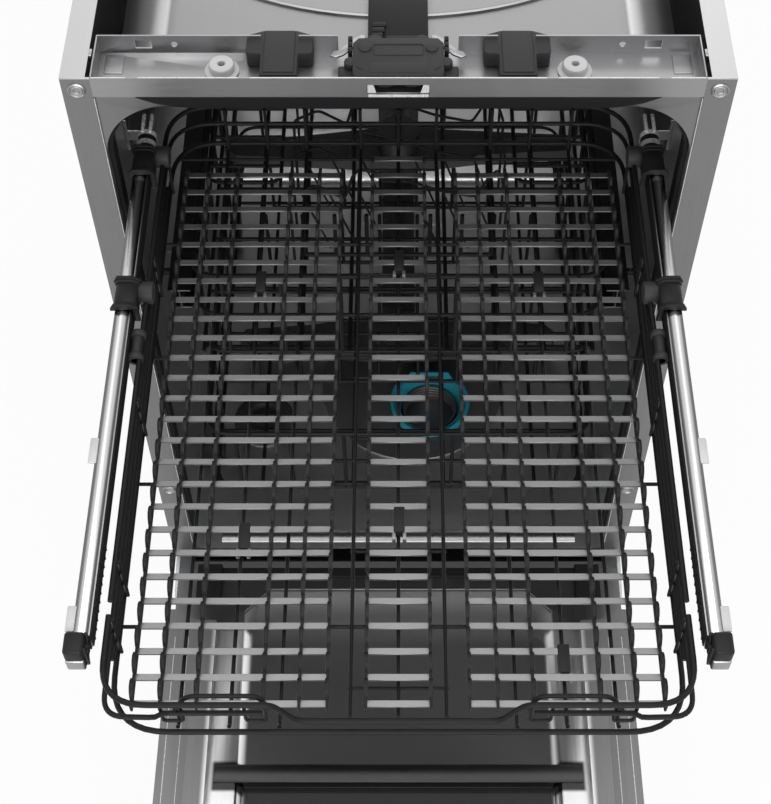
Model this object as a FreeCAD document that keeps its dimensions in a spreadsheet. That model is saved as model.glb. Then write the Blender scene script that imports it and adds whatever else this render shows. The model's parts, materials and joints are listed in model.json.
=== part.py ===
"""A slim built-in dishwasher with its door open and its cutlery tray drawn out, in millimetres.

X points right, Y to the back and Z up. The origin is on the floor, midway between the four feet.
"""
import FreeCAD, Part
import math
import operator
import os
import Sketcher
from FreeCAD import Placement, Rotation, Vector

# Driving dimensions
SIZES = [
    ("width", 448.0),
    ("height", 815.0),
    ("depth", 515.0),
    ("sheet", 1.2),
    ("clearance", 0.3),
    ("post_width", 20.0),
    ("post_bottom", 185.0),
    ("top_flange", 17.0),
    ("foot_radius", 17.0),
    ("foot_thick", 10.0),
    ("foot_inset_x", 36.0),
    ("foot_inset_y", 62.0),
    ("foot_collar_radius", 9.0),
    ("foot_stud_radius", 4.0),
    ("foot_stud_length", 30.0),
    ("base_bottom", 26.0),
    ("base_height", 62.0),
    ("base_wall", 2.5),
    ("toe_setback", 40.0),
    ("bracket_thick", 4.0),
    ("side_gap", 21.0),
    ("tub_floor", 186.0),
    ("tub_top_gap", 26.2),
    ("tub_back", 497.0),
    ("tub_top_radius", 48.0),
    ("tub_low_radius", 11.0),
    ("tub_back_radius", 8.0),
    ("gasket_thick", 3.6),
    ("gasket_depth", 12.0),
    ("gasket_setback", 7.0),
    ("rail_depth", 42.0),
    ("rail_height", 17.0),
    ("rail_floor", 15.0),
    ("lock_width", 81.0),
    ("lock_depth", 43.0),
    ("lock_pocket_width", 42.0),
    ("lock_pocket_height", 9.0),
    ("bush_spread", 238.0),
    ("bush_radius", 8.5),
    ("bush_bore", 2.6),
    ("bush_height", 12.0),
    ("bush_setback", 22.8),
    ("block_spread", 160.0),
    ("block_width", 25.0),
    ("block_arm_width", 41.0),
    ("screw_head_radius", 6.3),
    ("screw_head_thick", 1.4),
    ("screw_shank_radius", 2.4),
    ("screw_inset", 10.1),
    ("screw_top_drop", 11.0),
    ("screw_low_height", 299.0),
    ("hinge_forward", 27.0),
    ("hinge_height", 148.0),
    ("hinge_pin_radius", 5.0),
    ("hinge_pin_gap", 0.05),
    ("arm_thick", 4.0),
    ("sump_x", 15.0),
    ("sump_setback", 200.0),
    ("sump_radius", 84.0),
    ("sump_wall", 3.0),
    ("sump_bottom", 110.0),
    ("hub_setback", 240.0),
    ("hub_radius", 11.0),
    ("hub_top", 222.0),
    ("spin_gap", 0.08),
    ("filter_x", 33.0),
    ("filter_setback", 171.0),
    ("filter_radius", 34.0),
    ("filter_ring_radius", 40.0),
    ("filter_plate_thick", 2.2),
    ("salt_inset", 63.0),
    ("salt_setback", 150.0),
    ("salt_neck_radius", 27.0),
    ("spray_reach", 168.0),
    ("spray_thick", 13.0),
    ("upper_spray_setback", 300.0),
    ("spindle_radius", 8.0),
    ("tray_rail_height", 17.0),
    ("tray_rail_drop", 122.0),
    ("tray_rail_thick", 10.0),
    ("tray_rail_sheet", 1.4),
    ("tray_rail_inset", 13.0),
    ("tray_rail_length", 434.0),
    ("tray_rail_front", 371.0),
    ("clip_rear_inset", 41.0),
    ("clip_spacing", 122.0),
    ("tray_travel", 398.0),
    ("tray_gap", 6.0),
    ("tray_front", 392.0),
    ("tray_length", 484.0),
    ("tray_rise", 7.0),
    ("tray_depth", 39.0),
    ("tray_corner", 30.0),
    ("tray_wire", 2.3),
    ("slat_pitch", 17.2),
    ("slat_width", 5.0),
    ("slat_thick", 1.6),
    ("comb_thick", 1.8),
    ("comb_height", 12.0),
    ("upper_gap", 37.0),
    ("upper_drop", 343.0),
    ("upper_depth", 100.0),
    ("basket_front", 32.0),
    ("basket_length", 440.0),
    ("basket_wire", 1.8),
    ("rim_wire", 2.4),
    ("runner_rise", 49.0),
    ("runner_height", 23.0),
    ("runner_wall", 1.4),
    ("runner_half", 9.4),
    ("runner_length", 430.0),
    ("lower_gap", 27.0),
    ("lower_floor", 252.0),
    ("lower_rim", 345.0),
    ("wheel_radius", 18.0),
    ("wheel_width", 8.0),
    ("wheel_front_inset", 78.0),
    ("wheel_rear_inset", 72.0),
    ("tine_length", 78.0),
    ("cup_shelf_depth", 62.0),
    ("cup_shelf_length", 210.0),
    ("door_top_gap", 3.0),
    ("door_thick", 33.0),
    ("door_gap", 2.0),
    ("door_edge", 1.0),
    ("door_notch", 33.0),
    ("liner_recess", 14.0),
    ("liner_slope", 30.0),
    ("liner_margin", 73.0),
    ("track_height", 11.0),
    ("track_width", 20.0),
    ("fascia_length", 38.0),
    ("button_width", 22.0),
    ("striker_width", 28.0),
    ("striker_reach", 20.0),
    ("dispenser_margin", 10.0),
    ("ridge_offset", 193.0),
    ("ridge_width", 17.0),
    ("ridge_half", 169.0),
    ("dispenser_length", 150.0),
    ("dispenser_offset", 215.0),
    ("panel_hole_radius", 3.0),
    ("panel_hole_spread", 360.0),
    ("panel_hole_rise", 420.0),
]

doc = FreeCAD.newDocument("dishwasher")
sheet_cells = doc.addObject("Spreadsheet::Sheet", "Sizes")
for row, (alias, value) in enumerate(SIZES, start=1):
    sheet_cells.set(f"A{row}", alias)
    sheet_cells.set(f"B{row}", str(value))
    sheet_cells.setAlias(f"B{row}", alias)
doc.recompute()

# Numbers that stay tied to the sheet
SIGNS = {"+": operator.add, "-": operator.sub, "*": operator.mul, "/": operator.truediv}


def text_of(number):
    return number.text if isinstance(number, Length) else repr(float(number))


def joined(left, sign, right):
    value = SIGNS[sign](float(left), float(right))
    return Length(value, f"({text_of(left)} {sign} {text_of(right)})")


class Length(float):
    """A number that remembers the sheet expression that it was worked out from."""

    def __new__(cls, value, text):
        made = super().__new__(cls, value)
        made.text = text
        return made

    def __add__(self, other):
        return joined(self, "+", other)

    def __radd__(self, other):
        return joined(other, "+", self)

    def __sub__(self, other):
        return joined(self, "-", other)

    def __rsub__(self, other):
        return joined(other, "-", self)

    def __mul__(self, other):
        return joined(self, "*", other)

    def __rmul__(self, other):
        return joined(other, "*", self)

    def __truediv__(self, other):
        return joined(self, "/", other)

    def __neg__(self):
        return joined(0.0, "-", self)


def size(alias):
    return Length(float(sheet_cells.get(alias)), f"Sizes.{alias}")


# Document objects
TURN = {
    "x": Rotation(Vector(0, 1, 0), 90),
    "y": Rotation(Vector(1, 0, 0), -90),
    "z": Rotation(),
}
pieces = []


def piece(item):
    """Keep an object as one named sub-part."""
    pieces.append(item)
    return item


def bind(item, prop, number):
    item.setExpression(prop, text_of(number))


def put(item, x, y, z):
    for axis, number in zip("xyz", (x, y, z)):
        bind(item, f"Placement.Base.{axis}", number)


def block(name, x, y, z):
    """A box, with each axis given as its low and high limit."""
    item = doc.addObject("Part::Box", name)
    for prop, axis, (low, high) in zip(("Length", "Width", "Height"), "xyz", (x, y, z)):
        bind(item, prop, high - low)
        bind(item, f"Placement.Base.{axis}", low)
    return item


def drum(name, radius, height, base, axis="z"):
    item = doc.addObject("Part::Cylinder", name)
    bind(item, "Radius", radius)
    bind(item, "Height", height)
    item.Placement = Placement(Vector(), TURN[axis])
    put(item, *base)
    return item


def fuse(name, *parts):
    item = doc.addObject("Part::MultiFuse", name)
    item.Shapes = list(parts)
    return item


def cut(name, base, *tools):
    item = doc.addObject("Part::Cut", name)
    item.Base = base
    item.Tool = tools[0] if len(tools) == 1 else fuse(name + "_tools", *tools)
    return item


def group(name, *parts):
    item = doc.addObject("Part::Compound", name)
    item.Links = list(parts)
    return item


def mirrored(name, source):
    item = doc.addObject("Part::Mirroring", name)
    item.Source = source
    item.Normal = Vector(1, 0, 0)
    return item


def pair(name, source):
    """A right-hand piece and its left-hand mirror image."""
    return group(name, source, mirrored(name + "_left", source))


def sketch_on(body, role, outline):
    """A closed outline whose corners are all tied to the sheet."""
    sketch = body.newObject("Sketcher::SketchObject", body.Name + "_sketch")
    plane = next(item for item in body.Origin.OriginFeatures if item.Role == role)
    sketch.AttachmentSupport = [(plane, "")]
    sketch.MapMode = "FlatFace"
    count = len(outline)
    for index, corner in enumerate(outline):
        following = outline[(index + 1) % count]
        sketch.addGeometry(Part.LineSegment(Vector(*corner, 0), Vector(*following, 0)))
    for index, (across, up) in enumerate(outline):
        sketch.addConstraint(Sketcher.Constraint("Coincident", index, 2, (index + 1) % count, 1))
        for kind, number in (("DistanceX", across), ("DistanceY", up)):
            place = sketch.addConstraint(Sketcher.Constraint(kind, index, 1, float(number)))
            sketch.setExpression(f"Constraints[{place}]", text_of(number))
    return sketch


def padded(name, role, outline, low, high):
    """An outline on an origin plane, padded from low to high along the plane's normal."""
    body = doc.addObject("PartDesign::Body", name)
    pad = body.newObject("PartDesign::Pad", name + "_pad")
    pad.Profile = sketch_on(body, role, outline)
    bind(pad, "Length", high - low)
    axis, start = {"XY_Plane": ("z", low), "XZ_Plane": ("y", high), "YZ_Plane": ("x", low)}[role]
    bind(body, f"Placement.Base.{axis}", start)
    return body


def turned(name, outline, base, axis="z"):
    """An outline of radius and height, turned about its axis."""
    body = doc.addObject("PartDesign::Body", name)
    sketch = sketch_on(body, "XZ_Plane", outline)
    turn = body.newObject("PartDesign::Revolution", name + "_turn")
    turn.Profile = sketch
    turn.ReferenceAxis = (sketch, ["V_Axis"])
    turn.Angle = 360
    body.Placement = Placement(Vector(), TURN[axis])
    put(body, *base)
    return body


def shaped(name, shape):
    item = doc.addObject("Part::Feature", name)
    item.Shape = shape
    return item


# Wires
WIRE_SIDES = 6
WIRE_REACH = 1 / math.cos(math.pi / WIRE_SIDES)
BEND_STEPS = 3


def wire_section(centre, along, radius):
    along = Vector(along).normalize()
    side = along.cross(Vector(0, 0, 1))
    if side.Length < 0.001:
        side = Vector(1, 0, 0)
    side.normalize()
    rise = side.cross(along)
    reach = radius * WIRE_REACH
    corners = []
    for step in range(WIRE_SIDES):
        angle = 2 * math.pi * (step + 0.5) / WIRE_SIDES
        corners.append(centre + side * (reach * math.cos(angle)) + rise * (reach * math.sin(angle)))
    return Part.makePolygon(corners + corners[:1])


def rod(start, end, radius):
    """A straight wire."""
    return Part.Face(wire_section(start, end - start, radius)).extrude(end - start)


def softened(points, corner):
    """The same route with its inner corners rounded."""
    route = [points[0]]
    for before, point, after in zip(points, points[1:], points[2:]):
        back_way = (before - point).normalize()
        on_way = (after - point).normalize()
        for step in range(BEND_STEPS + 1):
            share = step / BEND_STEPS
            start = point + back_way * (corner * (1 - share))
            end = point + on_way * (corner * share)
            route.append(start * (1 - share) + end * share)
    return route + [points[-1]]


def bent(points, radius):
    """A bent wire along a route of points."""
    section = wire_section(points[0], points[1] - points[0], radius)
    return Part.makePolygon(points).makePipeShell([section], True, False, 1)


def welded(rods):
    """Crossing wires as one solid."""
    return rods[0].multiFuse(rods[1:])


def spread(low, high, count):
    """Evenly spaced places from low to high."""
    return [low + (high - low) * step / (count - 1) for step in range(count)]


# Shared places
width, height, depth = size("width"), size("height"), size("depth")
sheet, clearance = size("sheet"), size("clearance")
half = width / 2
front = -depth / 2
back = depth / 2
inner_side = half - sheet
post_edge = half - size("post_width")
base_bottom = size("base_bottom")
base_top = base_bottom + size("base_height")
base_half = inner_side - size("bracket_thick")
base_front = front + size("toe_setback")
base_back = back - sheet
tub_half = half - size("side_gap")
tub_floor, tub_ceiling = size("tub_floor"), height - size("tub_top_gap")
tub_back = front + size("tub_back")
tub_under = tub_floor - sheet
rail_top_floor = height - size("rail_floor")
rail_under = rail_top_floor - sheet
rail_back = front + size("rail_depth")
foot_x = half - size("foot_inset_x")
foot_y = depth / 2 - size("foot_inset_y")
FOOT_PLACES = [(side * foot_x, end * foot_y) for side in (-1, 1) for end in (-1, 1)]

# Base pan and levelling feet
wall = size("base_wall")
stud_radius = size("foot_stud_radius")
pan_outer = block("pan_outer", (-base_half, base_half), (base_front, base_back), (base_bottom, base_top))
pan_inside = block(
    "pan_inside",
    (-base_half + wall, base_half - wall),
    (base_front + wall, base_back - wall),
    (base_bottom + wall, base_top + wall),
)
stud_holes = [
    drum(f"stud_hole_{number}", stud_radius + clearance, wall * 3, (x, y, base_bottom - wall))
    for number, (x, y) in enumerate(FOOT_PLACES)
]
piece(cut("base_pan", pan_outer, pan_inside, *stud_holes))

foot_thick, foot_radius = size("foot_thick"), size("foot_radius")
collar = size("foot_collar_radius")
foot_outline = [
    (0.0, 0.0),
    (foot_radius, 0.0),
    (foot_radius, foot_thick * 0.6),
    (collar, foot_thick),
    (collar, base_bottom - clearance),
    (stud_radius, base_bottom - clearance),
    (stud_radius, foot_thick + size("foot_stud_length")),
    (0.0, foot_thick + size("foot_stud_length")),
]
feet = [
    turned(f"foot_{number}", foot_outline, (x, y, 0.0)) for number, (x, y) in enumerate(FOOT_PLACES)
]
piece(group("levelling_feet", *feet))

# Side panels with the front posts folded from them, and their screws
screw_x = half - size("screw_inset")
screw_heights = (height - size("screw_top_drop"), size("screw_low_height"))
panel_outline = [
    (half, front),
    (half, back),
    (post_edge, back),
    (post_edge, back - sheet),
    (inner_side, back - sheet),
    (inner_side, front + sheet),
    (post_edge, front + sheet),
    (post_edge, front),
]
panel_low = base_bottom + wall
panel_fold = padded("panel_fold", "XY_Plane", panel_outline, panel_low, height)
panel_top = block(
    "panel_top",
    (half - size("top_flange"), inner_side),
    (front + sheet, back - sheet),
    (height - sheet, height),
)
hinge_bay = block(
    "hinge_bay",
    (post_edge - wall, half + wall),
    (front - wall, base_front - 4 * wall),
    (panel_low - wall, size("post_bottom")),
)
shank = size("screw_shank_radius")
screw_holes = [
    drum(f"screw_hole_{number}", shank + size("spin_gap"), sheet * 3, (screw_x, front - sheet, z), "y")
    for number, z in enumerate(screw_heights)
]
right_panel = cut("right_side_panel", fuse("panel_sheet", panel_fold, panel_top), hinge_bay, *screw_holes)
piece(right_panel)
piece(mirrored("left_side_panel", right_panel))

head_radius, head_thick = size("screw_head_radius"), size("screw_head_thick")
screw_outline = [
    (0.0, -sheet),
    (shank, -sheet),
    (shank, 0.0),
    (head_radius, 0.0),
    (head_radius, head_thick * 0.5),
    (head_radius * 0.7, head_thick),
    (0.0, head_thick),
]
screws = []
for number, z in enumerate(screw_heights):
    screw = turned(f"post_screw_{number}", screw_outline, (screw_x, front, z))
    screw.Placement.Rotation = Rotation(Vector(1, 0, 0), 90)
    screws += [screw, mirrored(f"post_screw_left_{number}", screw)]
piece(group("post_screws", *screws))


# Tub of bent and drawn sheet
def rounded_section(half_width, low, high, low_radius, high_radius):
    """A face in the XZ plane with rounded corners."""
    corners = [
        (1, low, low_radius, 1),
        (1, high, high_radius, -1),
        (-1, high, high_radius, -1),
        (-1, low, low_radius, 1),
    ]
    arcs = []
    for side, z, radius, upward in corners:
        centre = Vector(side * (half_width - radius), 0, z + upward * radius)
        flat = centre - Vector(0, 0, upward * radius)
        upright = centre + Vector(side * radius, 0, 0)
        middle = centre + Vector(side, 0, -upward) * (radius / math.sqrt(2))
        ends = (flat, upright) if side * upward > 0 else (upright, flat)
        arcs.append((ends[0], middle, ends[1]))
    edges = []
    for index, (start, middle, end) in enumerate(arcs):
        edges.append(Part.Arc(start, middle, end).toShape())
        edges.append(Part.LineSegment(end, arcs[(index + 1) % len(arcs)][0]).toShape())
    return Part.Face(Part.Wire(edges))


def rear_rounded(solid, radius):
    """Round the edges of the solid's rear face."""
    rear = max(solid.Faces, key=lambda face: face.CenterOfMass.y)
    return solid.makeFillet(radius, rear.Edges)


def prism(section, start, end):
    return section.translated(Vector(0, start, 0)).extrude(Vector(0, end - start, 0))


def upright_hole(radius, x, y, low, high):
    return Part.makeCylinder(radius, high - low, Vector(x, y, low))


top_radius, low_radius = size("tub_top_radius"), size("tub_low_radius")
rear_radius = size("tub_back_radius")
sump_x, sump_y = size("sump_x"), front + size("sump_setback")
sump_radius, sump_wall = size("sump_radius"), size("sump_wall")
salt_x, salt_y = size("salt_inset") - tub_half, front + size("salt_setback")
neck_radius = size("salt_neck_radius")
outer_section = rounded_section(
    tub_half + sheet, tub_under, tub_ceiling + sheet, low_radius + sheet, top_radius + sheet
)
inner_section = rounded_section(tub_half, tub_floor, tub_ceiling, low_radius, top_radius)
tub_shell = rear_rounded(prism(outer_section, front + sheet, tub_back + sheet), rear_radius + sheet)
tub_space = rear_rounded(prism(inner_section, front, tub_back), rear_radius)
tub_flange = Part.makeBox(
    2 * inner_side, sheet, rail_under - tub_under, Vector(-inner_side, front + sheet, tub_under)
)
floor_holes = [
    upright_hole(sump_radius - sump_wall, sump_x, sump_y, tub_under - sheet, tub_floor + sheet),
    upright_hole(neck_radius + clearance, salt_x, salt_y, tub_under - sheet, tub_floor + sheet),
]
piece(shaped("tub", tub_shell.fuse(tub_flange).cut([tub_space] + floor_holes)))

gasket_thick = size("gasket_thick")
gasket_front = front + size("gasket_setback")
gasket_back = gasket_front + size("gasket_depth")
gasket_inner = rounded_section(
    tub_half - gasket_thick, tub_floor, tub_ceiling - gasket_thick, low_radius, top_radius - gasket_thick
)
gasket_ring = prism(inner_section, gasket_front, gasket_back)
gasket_ring = gasket_ring.cut(prism(gasket_inner, gasket_front - sheet, gasket_back + sheet))
gasket_foot = Part.makeBox(
    2 * tub_half, 2 * size("gasket_depth"), 2 * low_radius,
    Vector(-tub_half, gasket_front - sheet, tub_floor)
)
piece(shaped("tub_gasket", gasket_ring.cut(gasket_foot)))

# Top rail, a folded channel that carries the lock, the blocks and the worktop bushes
lock_half = size("lock_width") / 2
pocket_half = size("lock_pocket_width") / 2
pocket_top = rail_top_floor + size("lock_pocket_height")
bush_x, bush_y = size("bush_spread") / 2, front + size("bush_setback")
block_x, block_half = size("block_spread") / 2, size("block_width") / 2
rail_outline = [
    (front, height - size("rail_height")),
    (front, height),
    (front + sheet, height),
    (front + sheet, rail_top_floor),
    (rail_back - sheet, rail_top_floor),
    (rail_back - sheet, height),
    (rail_back, height),
    (rail_back, rail_under),
    (front + sheet, rail_under),
    (front + sheet, height - size("rail_height")),
]
rail_fold = padded("rail_fold", "YZ_Plane", rail_outline, -post_edge, post_edge)
UPSTAND_WINDOW = (31.0, 11.5, 7.0)
UPSTAND_HOLE = (52.0, 2.35)
rail_cuts = [
    block("striker_slot", (-pocket_half, pocket_half), (front - sheet, front + 2 * sheet),
          (rail_top_floor, pocket_top)),
    block("lock_gap", (-lock_half - clearance, lock_half + clearance),
          (rail_back - 2 * sheet, rail_back + sheet), (rail_top_floor, height + sheet)),
]
window_inset, window_wide, window_high = UPSTAND_WINDOW
hole_inset, hole_radius = UPSTAND_HOLE
window_x, hole_x = post_edge - window_inset, post_edge - hole_inset
upstand_middle = (rail_top_floor + height) / 2
for side, tag in ((-1, "left"), (1, "right")):
    rail_cuts.append(block(
        f"window_{tag}", (side * window_x - window_wide / 2, side * window_x + window_wide / 2),
        (rail_back - 2 * sheet, rail_back + sheet),
        (upstand_middle - window_high / 2, upstand_middle + window_high / 2)))
    rail_cuts.append(block(
        f"block_gap_{tag}",
        (side * block_x - block_half - clearance, side * block_x + block_half + clearance),
        (rail_back - 2 * sheet, rail_back + sheet), (rail_top_floor, height + sheet)))
    rail_cuts.append(drum(
        f"upstand_hole_{tag}", hole_radius, 3 * sheet,
        (side * hole_x, rail_back - 2 * sheet, upstand_middle), "y"))
    rail_cuts.append(drum(
        f"bush_hole_{tag}", size("bush_bore"), 3 * sheet, (side * bush_x, bush_y, rail_under - sheet)))
piece(cut("top_rail", rail_fold, *rail_cuts))

bush_radius, bush_bore, bush_height = size("bush_radius"), size("bush_bore"), size("bush_height")
bush_outline = [
    (bush_bore, 0.0),
    (bush_radius, 0.0),
    (bush_radius, bush_height * 0.3),
    (bush_radius * 0.75, bush_height * 0.45),
    (bush_radius * 0.75, bush_height - sheet),
    (bush_radius * 0.65, bush_height),
    (bush_bore, bush_height),
]
piece(pair("worktop_bushes", turned("bush_right", bush_outline, (bush_x, bush_y, rail_top_floor))))

arm_half = size("block_arm_width") / 2
block_front = front + 5 * sheet
block_rear = rail_back + 6 * sheet
block_outline = [
    (block_x - block_half, block_front),
    (block_x + block_half, block_front),
    (block_x + block_half, rail_back + clearance),
    (block_x + arm_half, rail_back + clearance),
    (block_x + arm_half, block_rear),
    (block_x - arm_half, block_rear),
    (block_x - arm_half, rail_back + clearance),
    (block_x - block_half, rail_back + clearance),
]
block_body = padded("block_body", "XY_Plane", block_outline, rail_top_floor, height - sheet)
block_groove = block(
    "block_groove", (block_x - block_half / 2, block_x + block_half / 2),
    (block_front + 4 * sheet, rail_back - 4 * sheet), (height - 4 * sheet, height))
piece(pair("rail_blocks", cut("rail_block_right", block_body, block_groove)))

# Door lock in the rail, with the hook that holds the striker
lock_front = front + 4 * sheet
lock_back = lock_front + size("lock_depth")
lock_pocket_back = lock_front + size("lock_depth") * 0.6
lock_box = block("lock_box", (-lock_half * 0.8, lock_half * 0.8), (lock_front, lock_back),
                 (rail_top_floor, height - sheet))
lock_ears = block("lock_ears", (-lock_half, lock_half), (lock_front + 6 * sheet, lock_back - 12 * sheet),
                  (rail_top_floor, height - 6 * sheet))
lock_bosses = [
    drum(f"lock_boss_{number}", 4.5, height - rail_top_floor, (x, lock_back - 8 * sheet, rail_top_floor))
    for number, x in enumerate((-lock_half * 0.62, lock_half * 0.62))
]
lock_pocket = block("lock_pocket", (-pocket_half, pocket_half), (lock_front - sheet, lock_pocket_back),
                    (rail_top_floor - sheet, pocket_top))
lock_slots = [
    block(f"lock_slot_{number}", (x - sheet, x + sheet), (lock_front + 8 * sheet, lock_back - 16 * sheet),
          (height - 3 * sheet, height))
    for number, x in enumerate(spread(-lock_half * 0.5, lock_half * 0.5, 5))
]
piece(cut("lock_housing", fuse("lock_mass", lock_box, lock_ears, *lock_bosses), lock_pocket, *lock_slots))

hook_pivot_y = lock_pocket_back - 5 * sheet
hook_low = rail_top_floor + 3 * sheet
hook_inner = size("striker_width") / 2 + 1.5
hook_outer = pocket_half - clearance
hook_bar = block("hook_bar", (-hook_outer, hook_outer), (hook_pivot_y - 2.0, hook_pivot_y + 2.0),
                 (hook_low - 1.0, hook_low + 2.0))
hook_outline = [
    (hook_pivot_y, hook_low - 1.0),
    (hook_pivot_y, hook_low + 2.0),
    (hook_pivot_y - 10.0, hook_low + 1.2),
    (hook_pivot_y - 15.0, hook_low - 1.6),
    (hook_pivot_y - 15.0, hook_low - 3.0),
    (hook_pivot_y - 11.0, hook_low - 1.0),
]
hook_prong = padded("hook_prong", "YZ_Plane", hook_outline, hook_inner, hook_outer)
piece(fuse("latch_hook", hook_bar, hook_prong, mirrored("hook_prong_left", hook_prong)))

duct_half = 13.0
duct_top = rail_under - clearance
tub_top = tub_ceiling + sheet
duct_outline = [
    (-duct_half, tub_top),
    (duct_half, tub_top),
    (duct_half, duct_top - 3.0),
    (duct_half - 4.0, duct_top),
    (-duct_half + 4.0, duct_top),
    (-duct_half, duct_top - 3.0),
]
piece(padded("cable_duct", "XZ_Plane", duct_outline, rail_back + sheet, tub_back - 4 * duct_half))

# Hinge brackets and pins on the cabinet
hinge_y, hinge_z = front - size("hinge_forward"), size("hinge_height")
pin_radius = size("hinge_pin_radius")
bracket_eye = 3 * pin_radius
bracket_outline = [
    (base_front + 5 * wall, base_bottom + 2 * wall),
    (base_front + 5 * wall, hinge_z + bracket_eye),
    (front + wall, hinge_z + bracket_eye * 1.5),
    (hinge_y + bracket_eye * 0.4, hinge_z + bracket_eye),
    (hinge_y - bracket_eye * 0.4, hinge_z + bracket_eye * 0.9),
    (hinge_y - bracket_eye, hinge_z + bracket_eye * 0.3),
    (hinge_y - bracket_eye, hinge_z - bracket_eye * 0.3),
    (hinge_y - bracket_eye * 0.4, hinge_z - bracket_eye * 0.9),
    (front + wall, hinge_z - bracket_eye),
    (base_front, base_top - 4 * wall),
    (base_front, base_bottom + 2 * wall),
]
bracket_plate = padded("bracket_plate", "YZ_Plane", bracket_outline, base_half, inner_side)
pin_hole = drum("pin_hole", pin_radius, 3 * size("bracket_thick"),
                (base_half - size("bracket_thick"), hinge_y, hinge_z), "x")
piece(pair("hinge_brackets", cut("hinge_bracket_right", bracket_plate, pin_hole)))

arm_outer = base_half - 2 * clearance
arm_inner = arm_outer - size("arm_thick")
pin_start = arm_inner - 2 * clearance
piece(pair("hinge_pins", drum("hinge_pin_right", pin_radius, inner_side - pin_start,
                              (pin_start, hinge_y, hinge_z), "x")))

# Sump bowl with the standpipe of the lower spray arm
hub_y, hub_radius, hub_top = front + size("hub_setback"), size("hub_radius"), size("hub_top")
sump_bottom = size("sump_bottom")
sump_outline = [
    (0.0, sump_bottom),
    (sump_radius * 0.55, sump_bottom),
    (sump_radius, sump_bottom + 8 * sump_wall),
    (sump_radius, tub_under - sump_wall),
    (sump_radius + 2 * sump_wall, tub_under - sump_wall),
    (sump_radius + 2 * sump_wall, tub_under),
    (sump_radius - sump_wall, tub_under),
    (sump_radius - sump_wall, sump_bottom + 9 * sump_wall),
    (sump_radius * 0.55 - sump_wall, sump_bottom + sump_wall),
    (0.0, sump_bottom + sump_wall),
]
sump_bowl = turned("sump_bowl", sump_outline, (sump_x, sump_y, 0.0))
standpipe = drum("standpipe", hub_radius, hub_top - sump_bottom - 3 * sump_wall,
                 (0.0, hub_y, sump_bottom + 3 * sump_wall))
standpipe_rib = block("standpipe_rib", (-sump_wall / 2, sump_wall / 2), (hub_y, sump_y + sump_radius * 0.9),
                      (sump_bottom + 9 * sump_wall, tub_under - 2 * sump_wall))
piece(fuse("sump", sump_bowl, standpipe, standpipe_rib))

filter_x, filter_y = size("filter_x"), front + size("filter_setback")
filter_radius, ring_radius = size("filter_radius"), size("filter_ring_radius")
plate_top = tub_floor + size("filter_plate_thick")
strainer = drum("strainer", sump_radius + 4 * sump_wall, plate_top - tub_floor, (sump_x, sump_y, tub_floor))
strainer_holes = [
    drum("filter_seat", filter_radius + clearance, 4 * sheet, (filter_x, filter_y, tub_floor - sheet)),
    drum("standpipe_seat", hub_radius + clearance, 4 * sheet, (0.0, hub_y, tub_floor - sheet)),
]
piece(cut("filter_plate", strainer, *strainer_holes))

ring_low = plate_top + clearance
ring_top = ring_low + 14.0
filter_bottom = sump_bottom + 8 * sump_wall
filter_wall = 2.4
filter_outline = [
    (filter_radius - filter_wall, filter_bottom),
    (filter_radius, filter_bottom),
    (filter_radius, ring_low),
    (ring_radius, ring_low),
    (ring_radius, ring_top - 3.0),
    (ring_radius - 3.0, ring_top),
    (ring_radius - 6.0, ring_top),
    (filter_radius - filter_wall, ring_low + 3.0),
]
filter_cup = turned("filter_cup", filter_outline, (filter_x, filter_y, 0.0))
filter_grip = block("filter_grip", (filter_x - filter_radius, filter_x + filter_radius),
                    (filter_y - filter_wall, filter_y + filter_wall), (ring_low, ring_top - 4.0))
filter_base = drum("filter_base", filter_radius, filter_wall, (filter_x, filter_y, filter_bottom))
piece(fuse("filter_cylinder", filter_cup, filter_grip, filter_base))

# Water softener with its neck through the tub floor, and the salt cap
softener_left, softener_right = 2 * wall - tub_half, sump_x - sump_radius - 8 * sump_wall
softener_front, softener_back = salt_y - 3 * neck_radius, salt_y + 3.7 * neck_radius
softener_box = block("softener_box", (softener_left, softener_right), (softener_front, softener_back),
                     (base_top + 4 * wall, tub_under))
softener_neck = drum("softener_neck", neck_radius, tub_floor + 4.0 - tub_under, (salt_x, salt_y, tub_under))
softener_ribs = [
    block(f"softener_rib_{number}", (softener_left - wall, softener_right + wall),
          (y - sheet, y + sheet), (base_top + 5 * wall, tub_under - wall))
    for number, y in enumerate(spread(softener_front + 8 * wall, softener_back - 8 * wall, 4))
]
piece(fuse("softener_tank", softener_box, softener_neck, *softener_ribs))
cap_low = tub_floor + 4.0 + clearance
cap_outline = [
    (0.0, cap_low),
    (neck_radius + 4.0, cap_low),
    (neck_radius + 4.0, cap_low + 7.0),
    (neck_radius, cap_low + 10.0),
    (neck_radius - 10.0, cap_low + 10.0),
    (neck_radius - 12.0, cap_low + 6.0),
    (0.0, cap_low + 6.0),
]
cap_dish = turned("cap_dish", cap_outline, (salt_x, salt_y, 0.0))
cap_grip = block("cap_grip", (salt_x - neck_radius * 0.7, salt_x + neck_radius * 0.7),
                 (salt_y - 2.5, salt_y + 2.5),
                 (cap_low + 5.0, cap_low + 12.0))
piece(fuse("salt_cap", cap_dish, cap_grip))

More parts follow.
